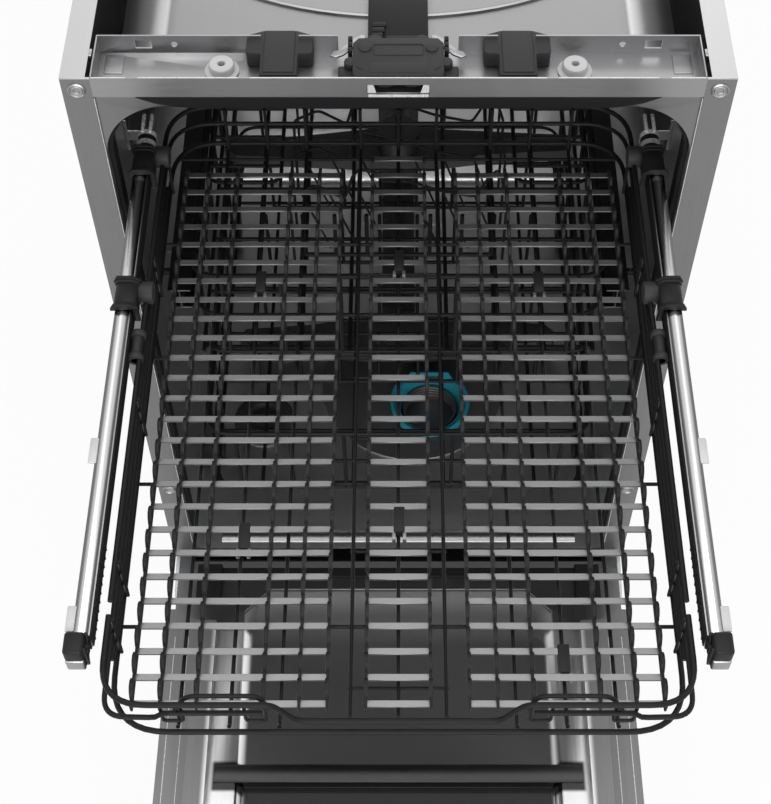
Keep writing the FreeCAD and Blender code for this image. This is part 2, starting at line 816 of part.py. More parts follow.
# Circulation pump with its heater ring, drain pump, inlet valve and cable gland
pump_z = (base_top + tub_under) / 2
pump_start = sump_y + sump_radius
pump_outline = [
    (0.0, 0.0),
    (15.0, 0.0),
    (15.0, 16.0),
    (44.0, 20.0),
    (44.0, 52.0),
    (38.0, 56.0),
    (38.0, 128.0),
    (30.0, 136.0),
    (0.0, 136.0),
]
piece(turned("circulation_pump", pump_outline, (sump_x, pump_start, pump_z), "y"))
drain_outline = [
    (0.0, 0.0),
    (11.0, 0.0),
    (11.0, 12.0),
    (27.0, 14.0),
    (27.0, 34.0),
    (22.0, 36.0),
    (22.0, 72.0),
    (0.0, 72.0),
]
drain_body = turned("drain_body", drain_outline, (sump_x + sump_radius, sump_y, pump_z), "x")
drain_spigot = drum("drain_spigot", 9.0, 60.0, (sump_x + sump_radius + 24.0, sump_y, pump_z), "y")
piece(fuse("drain_pump", drain_body, drain_spigot))

cover_y = back - 12.0
rear_low = base_top
inlet_x, gland_x = -150.0, 150.0
inlet_radius, gland_radius = 13.0, 10.0
cover_sheet = block("cover_sheet", (-inner_side, inner_side), (cover_y - sheet, cover_y),
                    (rear_low, tub_under))
cover_holes = [
    drum("inlet_hole", inlet_radius + clearance, 4 * sheet, (inlet_x, cover_y - 2 * sheet, pump_z), "y"),
    drum("gland_hole", gland_radius + clearance, 4 * sheet, (gland_x, cover_y - 2 * sheet, pump_z), "y"),
]
piece(cut("rear_cover", cover_sheet, *cover_holes))
inlet_outline = [
    (6.0, 0.0),
    (inlet_radius, 0.0),
    (inlet_radius, -11.0 - sheet),
    (18.0, -11.0 - sheet),
    (18.0, -46.0),
    (6.0, -46.0),
]
piece(turned("inlet_valve", inlet_outline, (inlet_x, back - 1.0, pump_z), "y"))
gland_outline = [
    (4.0, 0.0),
    (gland_radius - 2.0, 0.0),
    (gland_radius + 3.0, -4.0),
    (gland_radius + 3.0, -8.0),
    (gland_radius, -8.0),
    (gland_radius, -14.0),
    (4.0, -14.0),
]
piece(turned("cable_gland", gland_outline, (gland_x, cover_y + 8.0, pump_z), "y"))

# Feed duct on the tub floor and rear wall, up to the docking port of the upper spray arm
basket_wire, rim_wire = size("basket_wire"), size("rim_wire")
WIRE_STEP = 1.8
carrier_radius = 10.0
upper_floor = height - size("upper_drop")
upper_under = upper_floor - (WIRE_STEP + 1) * basket_wire
carrier_z = upper_under - clearance - carrier_radius
spray_thick = size("spray_thick")
spray_height = carrier_z - carrier_radius - spray_thick
duct_deep = 11.0
port_radius = 13.0
feed_foot = size("tub_back_radius")
feed_half = 22.0
feed_outline = [
    (tub_back - duct_deep, tub_floor),
    (tub_back - feed_foot, tub_floor),
    (tub_back, tub_floor + feed_foot),
    (tub_back, carrier_z + 16.0),
    (tub_back - 4.0, carrier_z + 20.0),
    (tub_back - duct_deep, carrier_z + 20.0),
]
feed_rise = padded("feed_rise", "YZ_Plane", feed_outline, -feed_half, feed_half)
feed_run = block("feed_run", (4.0 - feed_half, feed_half - 4.0),
                 (sump_y + sump_radius + 5 * sump_wall, tub_back - duct_deep + 1.0),
                 (tub_floor, tub_floor + 9.0))
feed_port = drum("feed_port", port_radius, 6.0, (0.0, tub_back - duct_deep - 6.0, carrier_z), "y")
feed_bore = drum("feed_bore", port_radius - 4.0, 10.0, (0.0, tub_back - duct_deep - 7.0, carrier_z), "y")
piece(cut("feed_tube", fuse("feed_mass", feed_rise, feed_run, feed_port), feed_bore))


# Spray arms, tapered towards their tips, with nozzles along the top
def spray_outline(y, hub, tip):
    reach = size("spray_reach")
    return [
        (-reach, y - tip * 0.2),
        (-reach * 0.93, y - tip),
        (-hub * 1.2, y - hub),
        (hub * 1.2, y - hub),
        (reach * 0.55, y - hub * 0.55),
        (reach * 0.97, y - tip * 0.55),
        (reach, y + tip * 0.2),
        (reach * 0.93, y + tip),
        (hub * 1.2, y + hub),
        (-hub * 1.2, y + hub),
        (-reach * 0.55, y + hub * 0.55),
        (-reach * 0.97, y + tip * 0.55),
    ]


spin_gap = size("spin_gap")
lower_low = hub_top - spray_thick
lower_blade = padded("lower_blade", "XY_Plane", spray_outline(hub_y, 26.0, 15.0), lower_low, hub_top)
lower_cap = drum("lower_cap", hub_radius + 6.0, 4.0, (0.0, hub_y, hub_top + clearance - 0.5))
lower_socket = drum("lower_socket", hub_radius + spin_gap, hub_top + clearance - lower_low + 1.0,
                    (0.0, hub_y, lower_low - 1.0))
NOZZLE_RADIUS = 2.2
lower_nozzles = [
    drum(f"lower_nozzle_{number}", NOZZLE_RADIUS, spray_thick / 2,
         (x, hub_y, lower_low + spray_thick * 0.7))
    for number, x in enumerate((-145.0, -105.0, -62.0, 50.0, 92.0, 135.0))
]
piece(cut("lower_spray_arm", fuse("lower_spray_mass", lower_blade, lower_cap), lower_socket,
          *lower_nozzles))

spindle_radius = size("spindle_radius")
upper_y = front + size("upper_spray_setback")
upper_top = spray_height + spray_thick
upper_blade = padded("upper_blade", "XY_Plane", spray_outline(upper_y, 22.0, 14.0), spray_height, upper_top)
upper_socket = drum("upper_socket", spindle_radius + spin_gap, 3 * spray_thick,
                    (0.0, upper_y, spray_height - spray_thick))
upper_nozzles = [
    drum(f"upper_nozzle_{number}", NOZZLE_RADIUS, spray_thick / 2,
         (x, upper_y, spray_height + spray_thick * 0.7))
    for number, x in enumerate((-140.0, -98.0, -55.0, 60.0, 102.0, 146.0))
]
piece(cut("upper_spray_arm", upper_blade, upper_socket, *upper_nozzles))

carrier_end = tub_back - duct_deep - 6.0 - clearance
carrier_hub = drum("carrier_hub", 2 * carrier_radius, carrier_z + carrier_radius - upper_top - clearance,
                   (0.0, upper_y, upper_top + clearance))
carrier_pin = drum("carrier_pin", spindle_radius, upper_top + clearance * 2 - spray_height + clearance,
                   (0.0, upper_y, spray_height - clearance))
carrier_nut = drum("carrier_nut", spindle_radius + 4.0, 4.0, (0.0, upper_y, spray_height - clearance - 4.0))
carrier_pipe = drum("carrier_pipe", carrier_radius, carrier_end - upper_y, (0.0, upper_y, carrier_z), "y")
piece(fuse("spray_carrier", carrier_hub, carrier_pin, carrier_nut, carrier_pipe))

# Telescopic rails of the cutlery tray: three channels, each running inside the next
bar_low = height - size("tray_rail_drop")
bar_high = bar_low + size("tray_rail_height")
bar_outer = tub_half - size("tray_rail_inset")
bar_inner = bar_outer - size("tray_rail_thick")
rail_sheet = size("tray_rail_sheet")
travel = size("tray_travel")
bar_front = front - size("tray_rail_front")
bar_back = bar_front + size("tray_rail_length")
CAP_LENGTH = 19.0
mid_front = bar_front + CAP_LENGTH + travel / 2 + 2.0
mid_back = bar_back + travel / 2 - 1.0
fixed_front = bar_front + travel + CAP_LENGTH + 14.0
fixed_back = bar_back + travel + CAP_LENGTH


def channel(inner, outer, low, high):
    """A channel with its web on the tray's side, chamfered along the web, open towards the tub wall."""
    return [
        (inner + rail_sheet, low),
        (outer, low),
        (outer, low + rail_sheet),
        (inner + rail_sheet, low + rail_sheet),
        (inner + rail_sheet, high - rail_sheet),
        (outer, high - rail_sheet),
        (outer, high),
        (inner + rail_sheet, high),
        (inner, high - rail_sheet),
        (inner, low + rail_sheet),
    ]


nest = rail_sheet + clearance
mid_inner, mid_outer = bar_inner + nest, bar_outer - clearance
mid_low, mid_high = bar_low + nest, bar_high - nest
fixed_outline = [
    (mid_inner + nest, mid_low + nest),
    (tub_half - 2 * rail_sheet, mid_low + nest),
    (tub_half - 2 * rail_sheet, bar_low - 5 * rail_sheet),
    (tub_half, bar_low - 5 * rail_sheet),
    (tub_half, bar_high + 5 * rail_sheet),
    (tub_half - 2 * rail_sheet, bar_high + 5 * rail_sheet),
    (tub_half - 2 * rail_sheet, mid_high - nest),
    (mid_inner + nest, mid_high - nest),
]
bar_body = padded("bar_body", "XZ_Plane", channel(bar_inner, bar_outer, bar_low, bar_high),
                  bar_front + CAP_LENGTH, bar_back)
bar_stop = block("bar_stop", (bar_inner + rail_sheet, bar_outer - rail_sheet), (bar_back - 8.0, bar_back),
                 (bar_high, bar_high + 11.0))
piece(pair("tray_inner_rails", fuse("tray_inner_rail_right", bar_body, bar_stop)))
piece(pair("tray_mid_rails", padded("tray_mid_rail_right", "XZ_Plane",
                                    channel(mid_inner, mid_outer, mid_low, mid_high), mid_front, mid_back)))
piece(pair("tray_outer_rails", padded("tray_outer_rail_right", "XZ_Plane", fixed_outline, fixed_front,
                                      fixed_back)))

cap_outer = bar_outer + 5.0
cap_outline = [
    (bar_inner - 2.0, bar_low - 3.0),
    (cap_outer - 3.0, bar_low - 3.0),
    (cap_outer, bar_low),
    (cap_outer, bar_high),
    (cap_outer - 3.0, bar_high + 3.0),
    (bar_inner - 2.0, bar_high + 3.0),
]
piece(pair("rail_end_caps", padded("rail_end_cap_right", "XZ_Plane", cap_outline,
                                   bar_front, bar_front + CAP_LENGTH)))

# Cutlery tray frame of welded wire
tray_half, tray_wire = bar_inner - size("tray_gap"), size("tray_wire")
tray_front = front - size("tray_front")
tray_back = tray_front + size("tray_length")
tray_top = bar_low + size("tray_rise")
tray_low = tray_top - size("tray_depth")
corner = size("tray_corner")
leg = 2 * corner
DIP_DEPTH, DIP_HALF, DIP_SLOPE = 23.0, 60.0, 12.0
STRUT_WIRE = 1.7
FLOOR_WIRE = 1.7
side_heights = (tray_top, tray_top - 12.0, tray_top - 24.0, tray_low)
front_heights = (tray_top - 16.0, tray_low)
rear_heights = (tray_top, tray_top - 18.0, tray_low)


def tray_end(y, inward, z):
    """One wire across an end of the tray with a rounded corner at each side."""
    return softened([
        Vector(-tray_half, y + inward * leg, z),
        Vector(-tray_half, y, z),
        Vector(tray_half, y, z),
        Vector(tray_half, y + inward * leg, z),
    ], corner)


def dipped_end(y, inward, z):
    """The front top wire, which dips in the middle as a grip."""
    route = tray_end(y, inward, z)
    middle = len(route) // 2
    dip = [
        Vector(-DIP_HALF - DIP_SLOPE, y, z),
        Vector(-DIP_HALF, y, z - DIP_DEPTH),
        Vector(DIP_HALF, y, z - DIP_DEPTH),
        Vector(DIP_HALF + DIP_SLOPE, y, z),
    ]
    return route[:middle] + dip + route[middle:]


def struts(places, low, high):
    return [rod(Vector(x, y, low), Vector(x, y, high), STRUT_WIRE) for x, y in places]


front_wires = [bent(dipped_end(tray_front, 1, tray_top), tray_wire)]
front_wires += [bent(tray_end(tray_front, 1, z), tray_wire) for z in front_heights]
HOOK_SHARES = (0.454, 0.77)
FLOOR_SHARES = (0.167, 0.408, 0.58, 0.756)
front_wires += struts([(side * share * tray_half, tray_front) for side in (-1, 1) for share in HOOK_SHARES],
                      tray_low, tray_top)
front_wires += struts([(side * FLOOR_SHARES[0] * tray_half, tray_front) for side in (-1, 1)], tray_low,
                      tray_top - DIP_DEPTH)
rear_wires = [bent(tray_end(tray_back, -1, z), tray_wire) for z in rear_heights]
rear_wires += struts([(x, tray_back) for x in spread(-0.69 * tray_half, 0.69 * tray_half, 4)], tray_low,
                     tray_top)
side_start, side_end = tray_front + leg, tray_back - leg
tray_solids = [welded(front_wires), welded(rear_wires)]
for side in (-1, 1):
    x = side * tray_half
    wires = [rod(Vector(x, side_start, z), Vector(x, side_end, z), tray_wire) for z in side_heights]
    wires += struts([(x, y) for y in spread(side_start + 12.0, side_end - 12.0, 5)], tray_low, tray_top)
    tray_solids.append(welded(wires))
floor_rods = [
    rod(Vector(x, tray_front, tray_low), Vector(x, tray_back, tray_low), FLOOR_WIRE)
    for x in [side * share * tray_half for side in (-1, 1) for share in FLOOR_SHARES]
]
floor_rods.append(rod(Vector(0, tray_front, tray_low), Vector(0, tray_back, tray_low), FLOOR_WIRE))
cross_low = tray_low - 1.8 * FLOOR_WIRE
floor_rods += [
    rod(Vector(-tray_half, y, cross_low), Vector(tray_half, y, cross_low), FLOOR_WIRE)
    for y in spread(tray_front + 30.0, tray_back - 30.0, 6)
]
tray_solids.append(welded(floor_rods))
piece(shaped("tray_frame", Part.makeCompound(tray_solids)))

# Comb inserts that hold the cutlery: serrated bars joined by flat slats
pitch, slat_width, slat_thick = size("slat_pitch"), size("slat_width"), size("slat_thick")
comb_thick, comb_height = size("comb_thick"), size("comb_height")
comb_low = tray_low + FLOOR_WIRE
TOOTH_DEPTH = 4.5


def comb(x, start, teeth):
    """A serrated bar along Y."""
    top = comb_low + comb_height
    points = [Vector(x, start, comb_low)]
    for tooth in range(teeth):
        y = start + tooth * pitch
        points += [Vector(x, y, top - TOOTH_DEPTH), Vector(x, y + pitch / 2, top)]
    points += [Vector(x, start + teeth * pitch, top - TOOTH_DEPTH),
               Vector(x, start + teeth * pitch, comb_low)]
    face = Part.Face(Part.makePolygon(points + points[:1]))
    return face.extrude(Vector(comb_thick, 0, 0)).translated(Vector(-comb_thick / 2, 0, 0))


def insert(combs, start, teeth, slats):
    """Combs at the given places, with one slat for each tooth gap."""
    low, high = min(combs), max(combs)
    solids = [comb(x, start, teeth) for x in combs]
    for slat in range(slats):
        y = start + slat * pitch
        solids.append(Part.makeBox(high - low, slat_width, slat_thick, Vector(low, y, comb_low + 1.0)))
    return welded(solids)


COMB_SHARES = (0.2454, 0.342, 0.4655, 0.6954, 0.8201, 0.9178)
SIDE_COMBS = [share * tray_half for share in COMB_SHARES]
SIDE_TEETH, CENTRE_TEETH = 25, 26
insert_start = tray_front + 16.0
piece(shaped("right_insert", insert(SIDE_COMBS, insert_start, SIDE_TEETH, SIDE_TEETH + 1)))
piece(shaped("left_insert", insert([-x for x in SIDE_COMBS], insert_start, SIDE_TEETH, SIDE_TEETH + 1)))
centre_half = 0.112 * tray_half
piece(shaped("centre_insert", insert((-centre_half, centre_half), insert_start, CENTRE_TEETH,
                                      CENTRE_TEETH + 1)))

# Clips that hang the tray on its rails: a flared saddle on the rail and a round boss over the tray's wire
clip_seat = tray_top + WIRE_REACH * tray_wire + clearance
clip_inner = bar_inner - clearance
CLIP_WALL, CLIP_HALF, CLIP_FLARE = 2.1, 12.0, 4.0
BOSS_RADIUS, BOSS_REACH = 9.0, 4.0
clip_rear, clip_spacing = size("clip_rear_inset"), size("clip_spacing")


def saddle(grow):
    """A section of the saddle, open towards the tub wall so that the fixed rail can pass."""
    return [
        (clip_inner - CLIP_WALL - grow, bar_low + 2 * CLIP_WALL),
        (clip_inner, bar_low + 2 * CLIP_WALL),
        (clip_inner, bar_high + clearance),
        (bar_outer, bar_high + clearance),
        (bar_outer + CLIP_WALL, bar_high - clearance),
        (bar_outer + 2 * CLIP_WALL + grow, bar_high - clearance),
        (bar_outer + 2 * CLIP_WALL + grow, bar_high + CLIP_WALL),
        (bar_outer + grow, bar_high + 2 * CLIP_WALL + grow),
        (clip_inner + grow, bar_high + 2 * CLIP_WALL + grow),
        (clip_inner - CLIP_WALL - grow, bar_high + CLIP_WALL),
    ]


def rail_clip(name, y):
    flares = [
        padded(f"{name}_{tag}", "XZ_Plane", saddle(CLIP_WALL / 2), low, low + CLIP_FLARE)
        for tag, low in (("front", y - CLIP_HALF - CLIP_FLARE), ("rear", y + CLIP_HALF))
    ]
    grip = padded(f"{name}_grip", "XZ_Plane", saddle(0.0), y - CLIP_HALF, y + CLIP_HALF)
    boss_start = tray_half - BOSS_REACH
    boss = drum(f"{name}_boss", BOSS_RADIUS, clip_inner - boss_start, (boss_start, y, clip_seat), "x")
    under = block(f"{name}_under", (boss_start - CLIP_WALL, clip_inner - CLIP_WALL),
                  (y - 2 * BOSS_RADIUS, y + 2 * BOSS_RADIUS), (clip_seat - 2 * BOSS_RADIUS, clip_seat))
    return fuse(name, grip, *flares, cut(f"{name}_dome", boss, under))


clips = []
for number, y in enumerate((bar_back - clip_rear - clip_spacing, bar_back - clip_rear)):
    clip = rail_clip(f"rail_clip_{number}", y)
    clips += [clip, mirrored(f"rail_clip_left_{number}", clip)]
piece(group("rail_clips", *clips))


# Wire baskets: a floor grid and four wall grids each
def floor_grid(half_width, start, end, z, lengthwise, crosswise):
    under = z - WIRE_STEP * basket_wire
    wires = [rod(Vector(x, start, z), Vector(x, end, z), basket_wire)
             for x in spread(-half_width, half_width, lengthwise)]
    wires += [rod(Vector(-half_width, y, under), Vector(half_width, y, under), basket_wire)
              for y in spread(start + 4 * basket_wire, end - 4 * basket_wire, crosswise)]
    return welded(wires)


def wall_grid(start, end, low, rim, uprights):
    """A wall between two floor points, with a heavier rim wire and one wire half way up."""
    along = end - start
    wires = [rod(start + Vector(0, 0, rim - low), end + Vector(0, 0, rim - low), rim_wire)]
    wires.append(rod(start + Vector(0, 0, (rim - low) * 0.5), end + Vector(0, 0, (rim - low) * 0.5),
                     basket_wire * 0.9))
    for share in spread(0.04, 0.96, uprights):
        foot = start + along * share
        wires.append(rod(foot, foot + Vector(0, 0, rim - low), basket_wire))
    return welded(wires)


def basket_walls(half_width, start, end, low, rim, side_uprights, end_uprights):
    corners = [Vector(x, y, low) for x, y in
               ((-half_width, start), (half_width, start), (half_width, end), (-half_width, end))]
    walls = []
    for index, corner_point in enumerate(corners):
        uprights = end_uprights if index % 2 == 0 else side_uprights
        walls.append(wall_grid(corner_point, corners[(index + 1) % 4], low, rim, uprights))
    return walls


def tine_row(x_places, y, low, high, radius):
    """Upright tines on a common foot wire."""
    wires = [rod(Vector(min(x_places), y, low), Vector(max(x_places), y, low), radius * 1.15)]
    wires += [rod(Vector(x, y, low), Vector(x, y, high), radius) for x in x_places]
    return welded(wires)


basket_start = front + size("basket_front")
basket_end = basket_start + size("basket_length")
upper_half, upper_rim = tub_half - size("upper_gap"), upper_floor + size("upper_depth")
UPPER_TINE = 55.0
upper_solids = [floor_grid(upper_half, basket_start, basket_end, upper_floor, 9, 8)]
upper_solids += basket_walls(upper_half, basket_start, basket_end, upper_floor, upper_rim, 8, 7)
upper_tine_x = spread(-upper_half * 0.5, upper_half * 0.5, 7)
for setback in (0.24, 0.72):
    y = basket_start + size("basket_length") * setback
    upper_solids.append(tine_row(upper_tine_x, y, upper_floor + 1.5 * basket_wire,
                                 upper_floor + UPPER_TINE, basket_wire))
piece(shaped("upper_basket", Part.makeCompound(upper_solids)))

# Fold-up cup shelves, each hinged on a wire beside the basket wall
shelf_depth, shelf_length = size("cup_shelf_depth"), size("cup_shelf_length")
shelf_pivot_x = upper_half - 2 * basket_wire - clearance
shelf_z = upper_rim - 14.0
shelf_start = (basket_start + basket_end) / 2 - shelf_length / 2


def cup_shelf(side):
    pivot, edge = side * shelf_pivot_x, side * (shelf_pivot_x - shelf_depth)
    end = shelf_start + shelf_length
    wires = [rod(Vector(pivot, shelf_start, shelf_z), Vector(pivot, end, shelf_z), basket_wire)]
    wires.append(rod(Vector(edge, shelf_start, shelf_z), Vector(edge, end, shelf_z), basket_wire))
    wires += [rod(Vector(pivot, y, shelf_z), Vector(edge, y, shelf_z), basket_wire * 0.9)
              for y in spread(shelf_start + basket_wire, end - basket_wire, 6)]
    return welded(wires)


piece(shaped("left_cup_shelf", cup_shelf(-1)))
piece(shaped("right_cup_shelf", cup_shelf(1)))

# Runners of the upper basket: channels on both sides take the basket's rollers and the wall's
runner_wall, runner_half = size("runner_wall"), size("runner_half")
runner_x = upper_half + rim_wire + runner_half + 2.0
runner_low = upper_floor + size("runner_rise")
runner_high = runner_low + size("runner_height")
web = runner_wall / 2
runner_outline = [
    (runner_x - runner_half, runner_low),
    (runner_x + runner_half, runner_low),
    (runner_x + runner_half, runner_low + runner_wall),
    (runner_x + web, runner_low + runner_wall),
    (runner_x + web, runner_high - runner_wall),
    (runner_x + runner_half, runner_high - runner_wall),
    (runner_x + runner_half, runner_high),
    (runner_x - runner_half, runner_high),
    (runner_x - runner_half, runner_high - runner_wall),
    (runner_x - web, runner_high - runner_wall),
    (runner_x - web, runner_low + runner_wall),
    (runner_x - runner_half, runner_low + runner_wall),
]
runner_start = basket_start + 8.0
runner_end = runner_start + size("runner_length")
piece(pair("upper_runners", padded("upper_runner_right", "XZ_Plane", runner_outline, runner_start,
                                   runner_end)))

roller_radius = size("runner_height") / 2 - runner_wall - clearance
roller_width = runner_half - web - 3.0
roller_z = (runner_low + runner_high) / 2
AXLE_RADIUS = 3.0


def roller(name, low, high, axle_low, axle_high, y):
    wheel = drum(name + "_wheel", roller_radius, high - low, (low, y, roller_z), "x")
    axle = drum(name + "_axle", AXLE_RADIUS, axle_high - axle_low, (axle_low, y, roller_z), "x")
    return fuse(name, wheel, axle)


wall_roller_start = runner_x + web + 1.5
basket_roller_end = runner_x - web - 1.5
wall_rollers, basket_rollers = [], []
for number, (wall_setback, basket_setback) in enumerate(((70.0, 240.0), (270.0, 440.0))):
    wheel = roller(f"wall_roller_{number}", wall_roller_start, wall_roller_start + roller_width,
                   wall_roller_start, tub_half, front + wall_setback)
    wall_rollers += [wheel, mirrored(f"wall_roller_left_{number}", wheel)]
    wheel = roller(f"basket_roller_{number}", basket_roller_end - roller_width, basket_roller_end,
                   upper_half + basket_wire, basket_roller_end, front + basket_setback)
    basket_rollers += [wheel, mirrored(f"basket_roller_left_{number}", wheel)]
piece(group("wall_rollers", *wall_rollers))
piece(group("upper_basket_rollers", *basket_rollers))

# Lower basket with fixed and folding tines, on wheels
lower_half = tub_half - size("lower_gap")
lower_floor, lower_rim = size("lower_floor"), size("lower_rim")
wheel_radius, wheel_width = size("wheel_radius"), size("wheel_width")
wheel_z = tub_floor + clearance + wheel_radius
wheel_places = (basket_start + size("wheel_front_inset"), basket_end - size("wheel_rear_inset"))
tine_high = lower_floor + size("tine_length")
lower_solids = [floor_grid(lower_half, basket_start, basket_end, lower_floor, 9, 8)]
lower_solids += basket_walls(lower_half, basket_start, basket_end, lower_floor, lower_rim, 8, 7)
lower_tine_x = spread(-lower_half * 0.78, lower_half * 0.78, 8)
for setback in (0.46, 0.64, 0.82):
    y = basket_start + size("basket_length") * setback
    lower_solids.append(tine_row(lower_tine_x, y, lower_floor + 1.5 * basket_wire, tine_high, basket_wire))
bracket_x = lower_half + basket_wire
BRACKET_THICK, WHEEL_AXLE = 3.4, 5.0
for side in (-1, 1):
    for y in wheel_places:
        outline = [
            Vector(side * bracket_x, y - 22.0, lower_floor + 16.0),
            Vector(side * bracket_x, y + 22.0, lower_floor + 16.0),
            Vector(side * bracket_x, y + 9.0, wheel_z - 9.0),
            Vector(side * bracket_x, y - 9.0, wheel_z - 9.0),
        ]
        plate_face = Part.Face(Part.makePolygon(outline + outline[:1]))
        plate = plate_face.extrude(Vector(side * BRACKET_THICK, 0, 0))
        axle = Part.makeCylinder(WHEEL_AXLE, BRACKET_THICK + wheel_width + clearance,
                                 Vector(side * bracket_x, y, wheel_z), Vector(side, 0, 0))
        lower_solids.append(plate.fuse(axle))
piece(shaped("lower_basket", Part.makeCompound(lower_solids)))

wheel_inner = bracket_x + BRACKET_THICK + clearance
wheel_bore = WHEEL_AXLE + spin_gap
wheel_outline = [
    (wheel_bore, 0.0),
    (wheel_radius * 0.5, 0.0),
    (wheel_radius * 0.55, wheel_width * 0.25),
    (wheel_radius * 0.8, wheel_width * 0.25),
    (wheel_radius * 0.86, 0.0),
    (wheel_radius, 0.0),
    (wheel_radius, wheel_width),
    (wheel_radius * 0.86, wheel_width),
    (wheel_radius * 0.8, wheel_width * 0.75),
    (wheel_radius * 0.55, wheel_width * 0.75),
    (wheel_radius * 0.5, wheel_width),
    (wheel_bore, wheel_width),
]
for tag, y in zip(("front", "rear"), wheel_places):
    wheel = turned(f"{tag}_wheel_right", wheel_outline, (wheel_inner, y, wheel_z), "x")
    piece(pair(f"{tag}_wheels", wheel))

fold_y = basket_start + size("basket_length") * 0.28
fold_z = lower_floor + 2 * WIRE_REACH * basket_wire + clearance
piece(shaped("folding_tines", tine_row(lower_tine_x, fold_y, fold_z, fold_z + size("tine_length"),
                                       basket_wire)))

# Door, lying open: outer panel, fascia with its buttons, and hinge arms
door_half = half - size("door_edge")
liner_top = hinge_z + size("hinge_forward") - size("door_gap")
door_low = liner_top - size("door_thick")
door_length = height - size("door_top_gap") - hinge_z
door_far = hinge_y - door_length
fascia_end = door_far + size("fascia_length")
panel_end = hinge_y + 2 * pin_radius
liner_end = hinge_y + 2.6 * pin_radius
liner_under = liner_top - sheet
notch_x = arm_outer + clearance
notch_y = hinge_y - size("door_notch")
hole_x, hole_y = size("panel_hole_spread") / 2, size("panel_hole_rise") / 2
panel_middle = hinge_y - door_length / 2
door_tray = block("door_tray", (-door_half, door_half), (fascia_end, panel_end), (door_low, liner_under))
door_hollow = block("door_hollow", (-door_half + sheet, door_half - sheet),
                    (fascia_end - sheet, panel_end + sheet),
                    (door_low + sheet, liner_under + sheet))


def hinge_notches(tag, top):
    """Room at the door's lower corners for the cabinet's hinge brackets."""
    right = block(f"{tag}_notch", (notch_x, half + sheet), (notch_y, liner_end + sheet),
                  (door_low - sheet, top))
    return [right, mirrored(f"{tag}_notch_left", right)]


panel_holes = [
    drum(f"panel_hole_{number}", size("panel_hole_radius"), 3 * sheet,
         (x, panel_middle + y, door_low - sheet))
    for number, (x, y) in enumerate(
        [(side * hole_x, end * hole_y) for side in (-1, 1) for end in (-1, 1)])
]
piece(cut("door_outer_panel", door_tray, door_hollow, *hinge_notches("panel", liner_top + sheet),
          *panel_holes))

arm_low = door_low + sheet + clearance
arm_high = liner_under - clearance
arm_outline = [
    (hinge_y + 1.8 * pin_radius, arm_low),
    (hinge_y + 2.4 * pin_radius, hinge_z),
    (hinge_y + 1.8 * pin_radius, hinge_z + 2 * pin_radius),
    (hinge_y - 3 * pin_radius, arm_high),
    (hinge_y - 32 * pin_radius, arm_high),
    (hinge_y - 36 * pin_radius, arm_high - 2 * pin_radius),
    (hinge_y - 36 * pin_radius, arm_low),
]
arm_plate = padded("arm_plate", "YZ_Plane", arm_outline, arm_inner, arm_outer)
arm_bore = drum("arm_bore", pin_radius + size("hinge_pin_gap"), 3 * size("arm_thick"),
                (arm_inner - size("arm_thick"), hinge_y, hinge_z), "x")
piece(pair("hinge_arms", cut("hinge_arm_right", arm_plate, arm_bore)))

FASCIA_WALL = 2.5
button_half = size("button_width") / 2
button_z = (door_low + liner_top) / 2
BUTTON_RISE = 5.0
BUTTON_COLLAR = 2.0
BUTTONS = (("power_button", -165.0), ("program_button", 118.0), ("start_button", 158.0))
fascia_box = block("fascia_box", (-door_half, door_half), (door_far, fascia_end), (door_low, liner_top))
fascia_hollow = block("fascia_hollow", (-door_half + FASCIA_WALL, door_half - FASCIA_WALL),
                      (door_far + FASCIA_WALL, fascia_end + sheet),
                      (door_low + FASCIA_WALL, liner_top - FASCIA_WALL))
button_holes = [
    block(f"{tag}_hole", (x - button_half - clearance, x + button_half + clearance),
          (door_far - sheet, door_far + 2 * FASCIA_WALL),
          (button_z - BUTTON_RISE - clearance, button_z + BUTTON_RISE + clearance))
    for tag, x in BUTTONS
]
piece(cut("control_fascia", fascia_box, fascia_hollow, *button_holes))
for tag, x in BUTTONS:
    cap = block(f"{tag}_cap", (x - button_half, x + button_half),
                (door_far, door_far + FASCIA_WALL + clearance + 4.0),
                (button_z - BUTTON_RISE, button_z + BUTTON_RISE))
    collar_back = block(
        f"{tag}_collar", (x - button_half - BUTTON_COLLAR, x + button_half + BUTTON_COLLAR),
        (door_far + FASCIA_WALL + clearance, door_far + FASCIA_WALL + clearance + 2.0),
        (button_z - BUTTON_RISE - BUTTON_COLLAR, button_z + BUTTON_RISE + BUTTON_COLLAR))
    piece(fuse(tag, cap, collar_back))

# Inner liner of drawn sheet: a sloped recess, and a raised wheel track along each side
recess_half = door_half - size("liner_margin")
recess_near = hinge_y - 11.0
recess_far = fascia_end + 20.0
recess_slope = size("liner_slope")
recess_floor = liner_top - size("liner_recess")


def recess_frame(inset, z):
    """The recess outline, with cut corners, at one height."""
    x, cut_corner = recess_half - 0.2 * inset, recess_slope * 0.8
    near, far = recess_near - inset, recess_far + inset
    points = [
        Vector(-x + cut_corner, near, z),
        Vector(x - cut_corner, near, z),
        Vector(x, near - cut_corner, z),
        Vector(x, far + cut_corner, z),
        Vector(x - cut_corner, far, z),
        Vector(-x + cut_corner, far, z),
        Vector(-x, far + cut_corner, z),
        Vector(-x, near - cut_corner, z),
    ]
    return Part.makePolygon(points + points[:1])


def recess_solid(drop, grow):
    top, low = recess_frame(-grow, liner_top - drop), recess_frame(recess_slope - grow, recess_floor - drop)
    return Part.makeLoft([top, low], True, True)


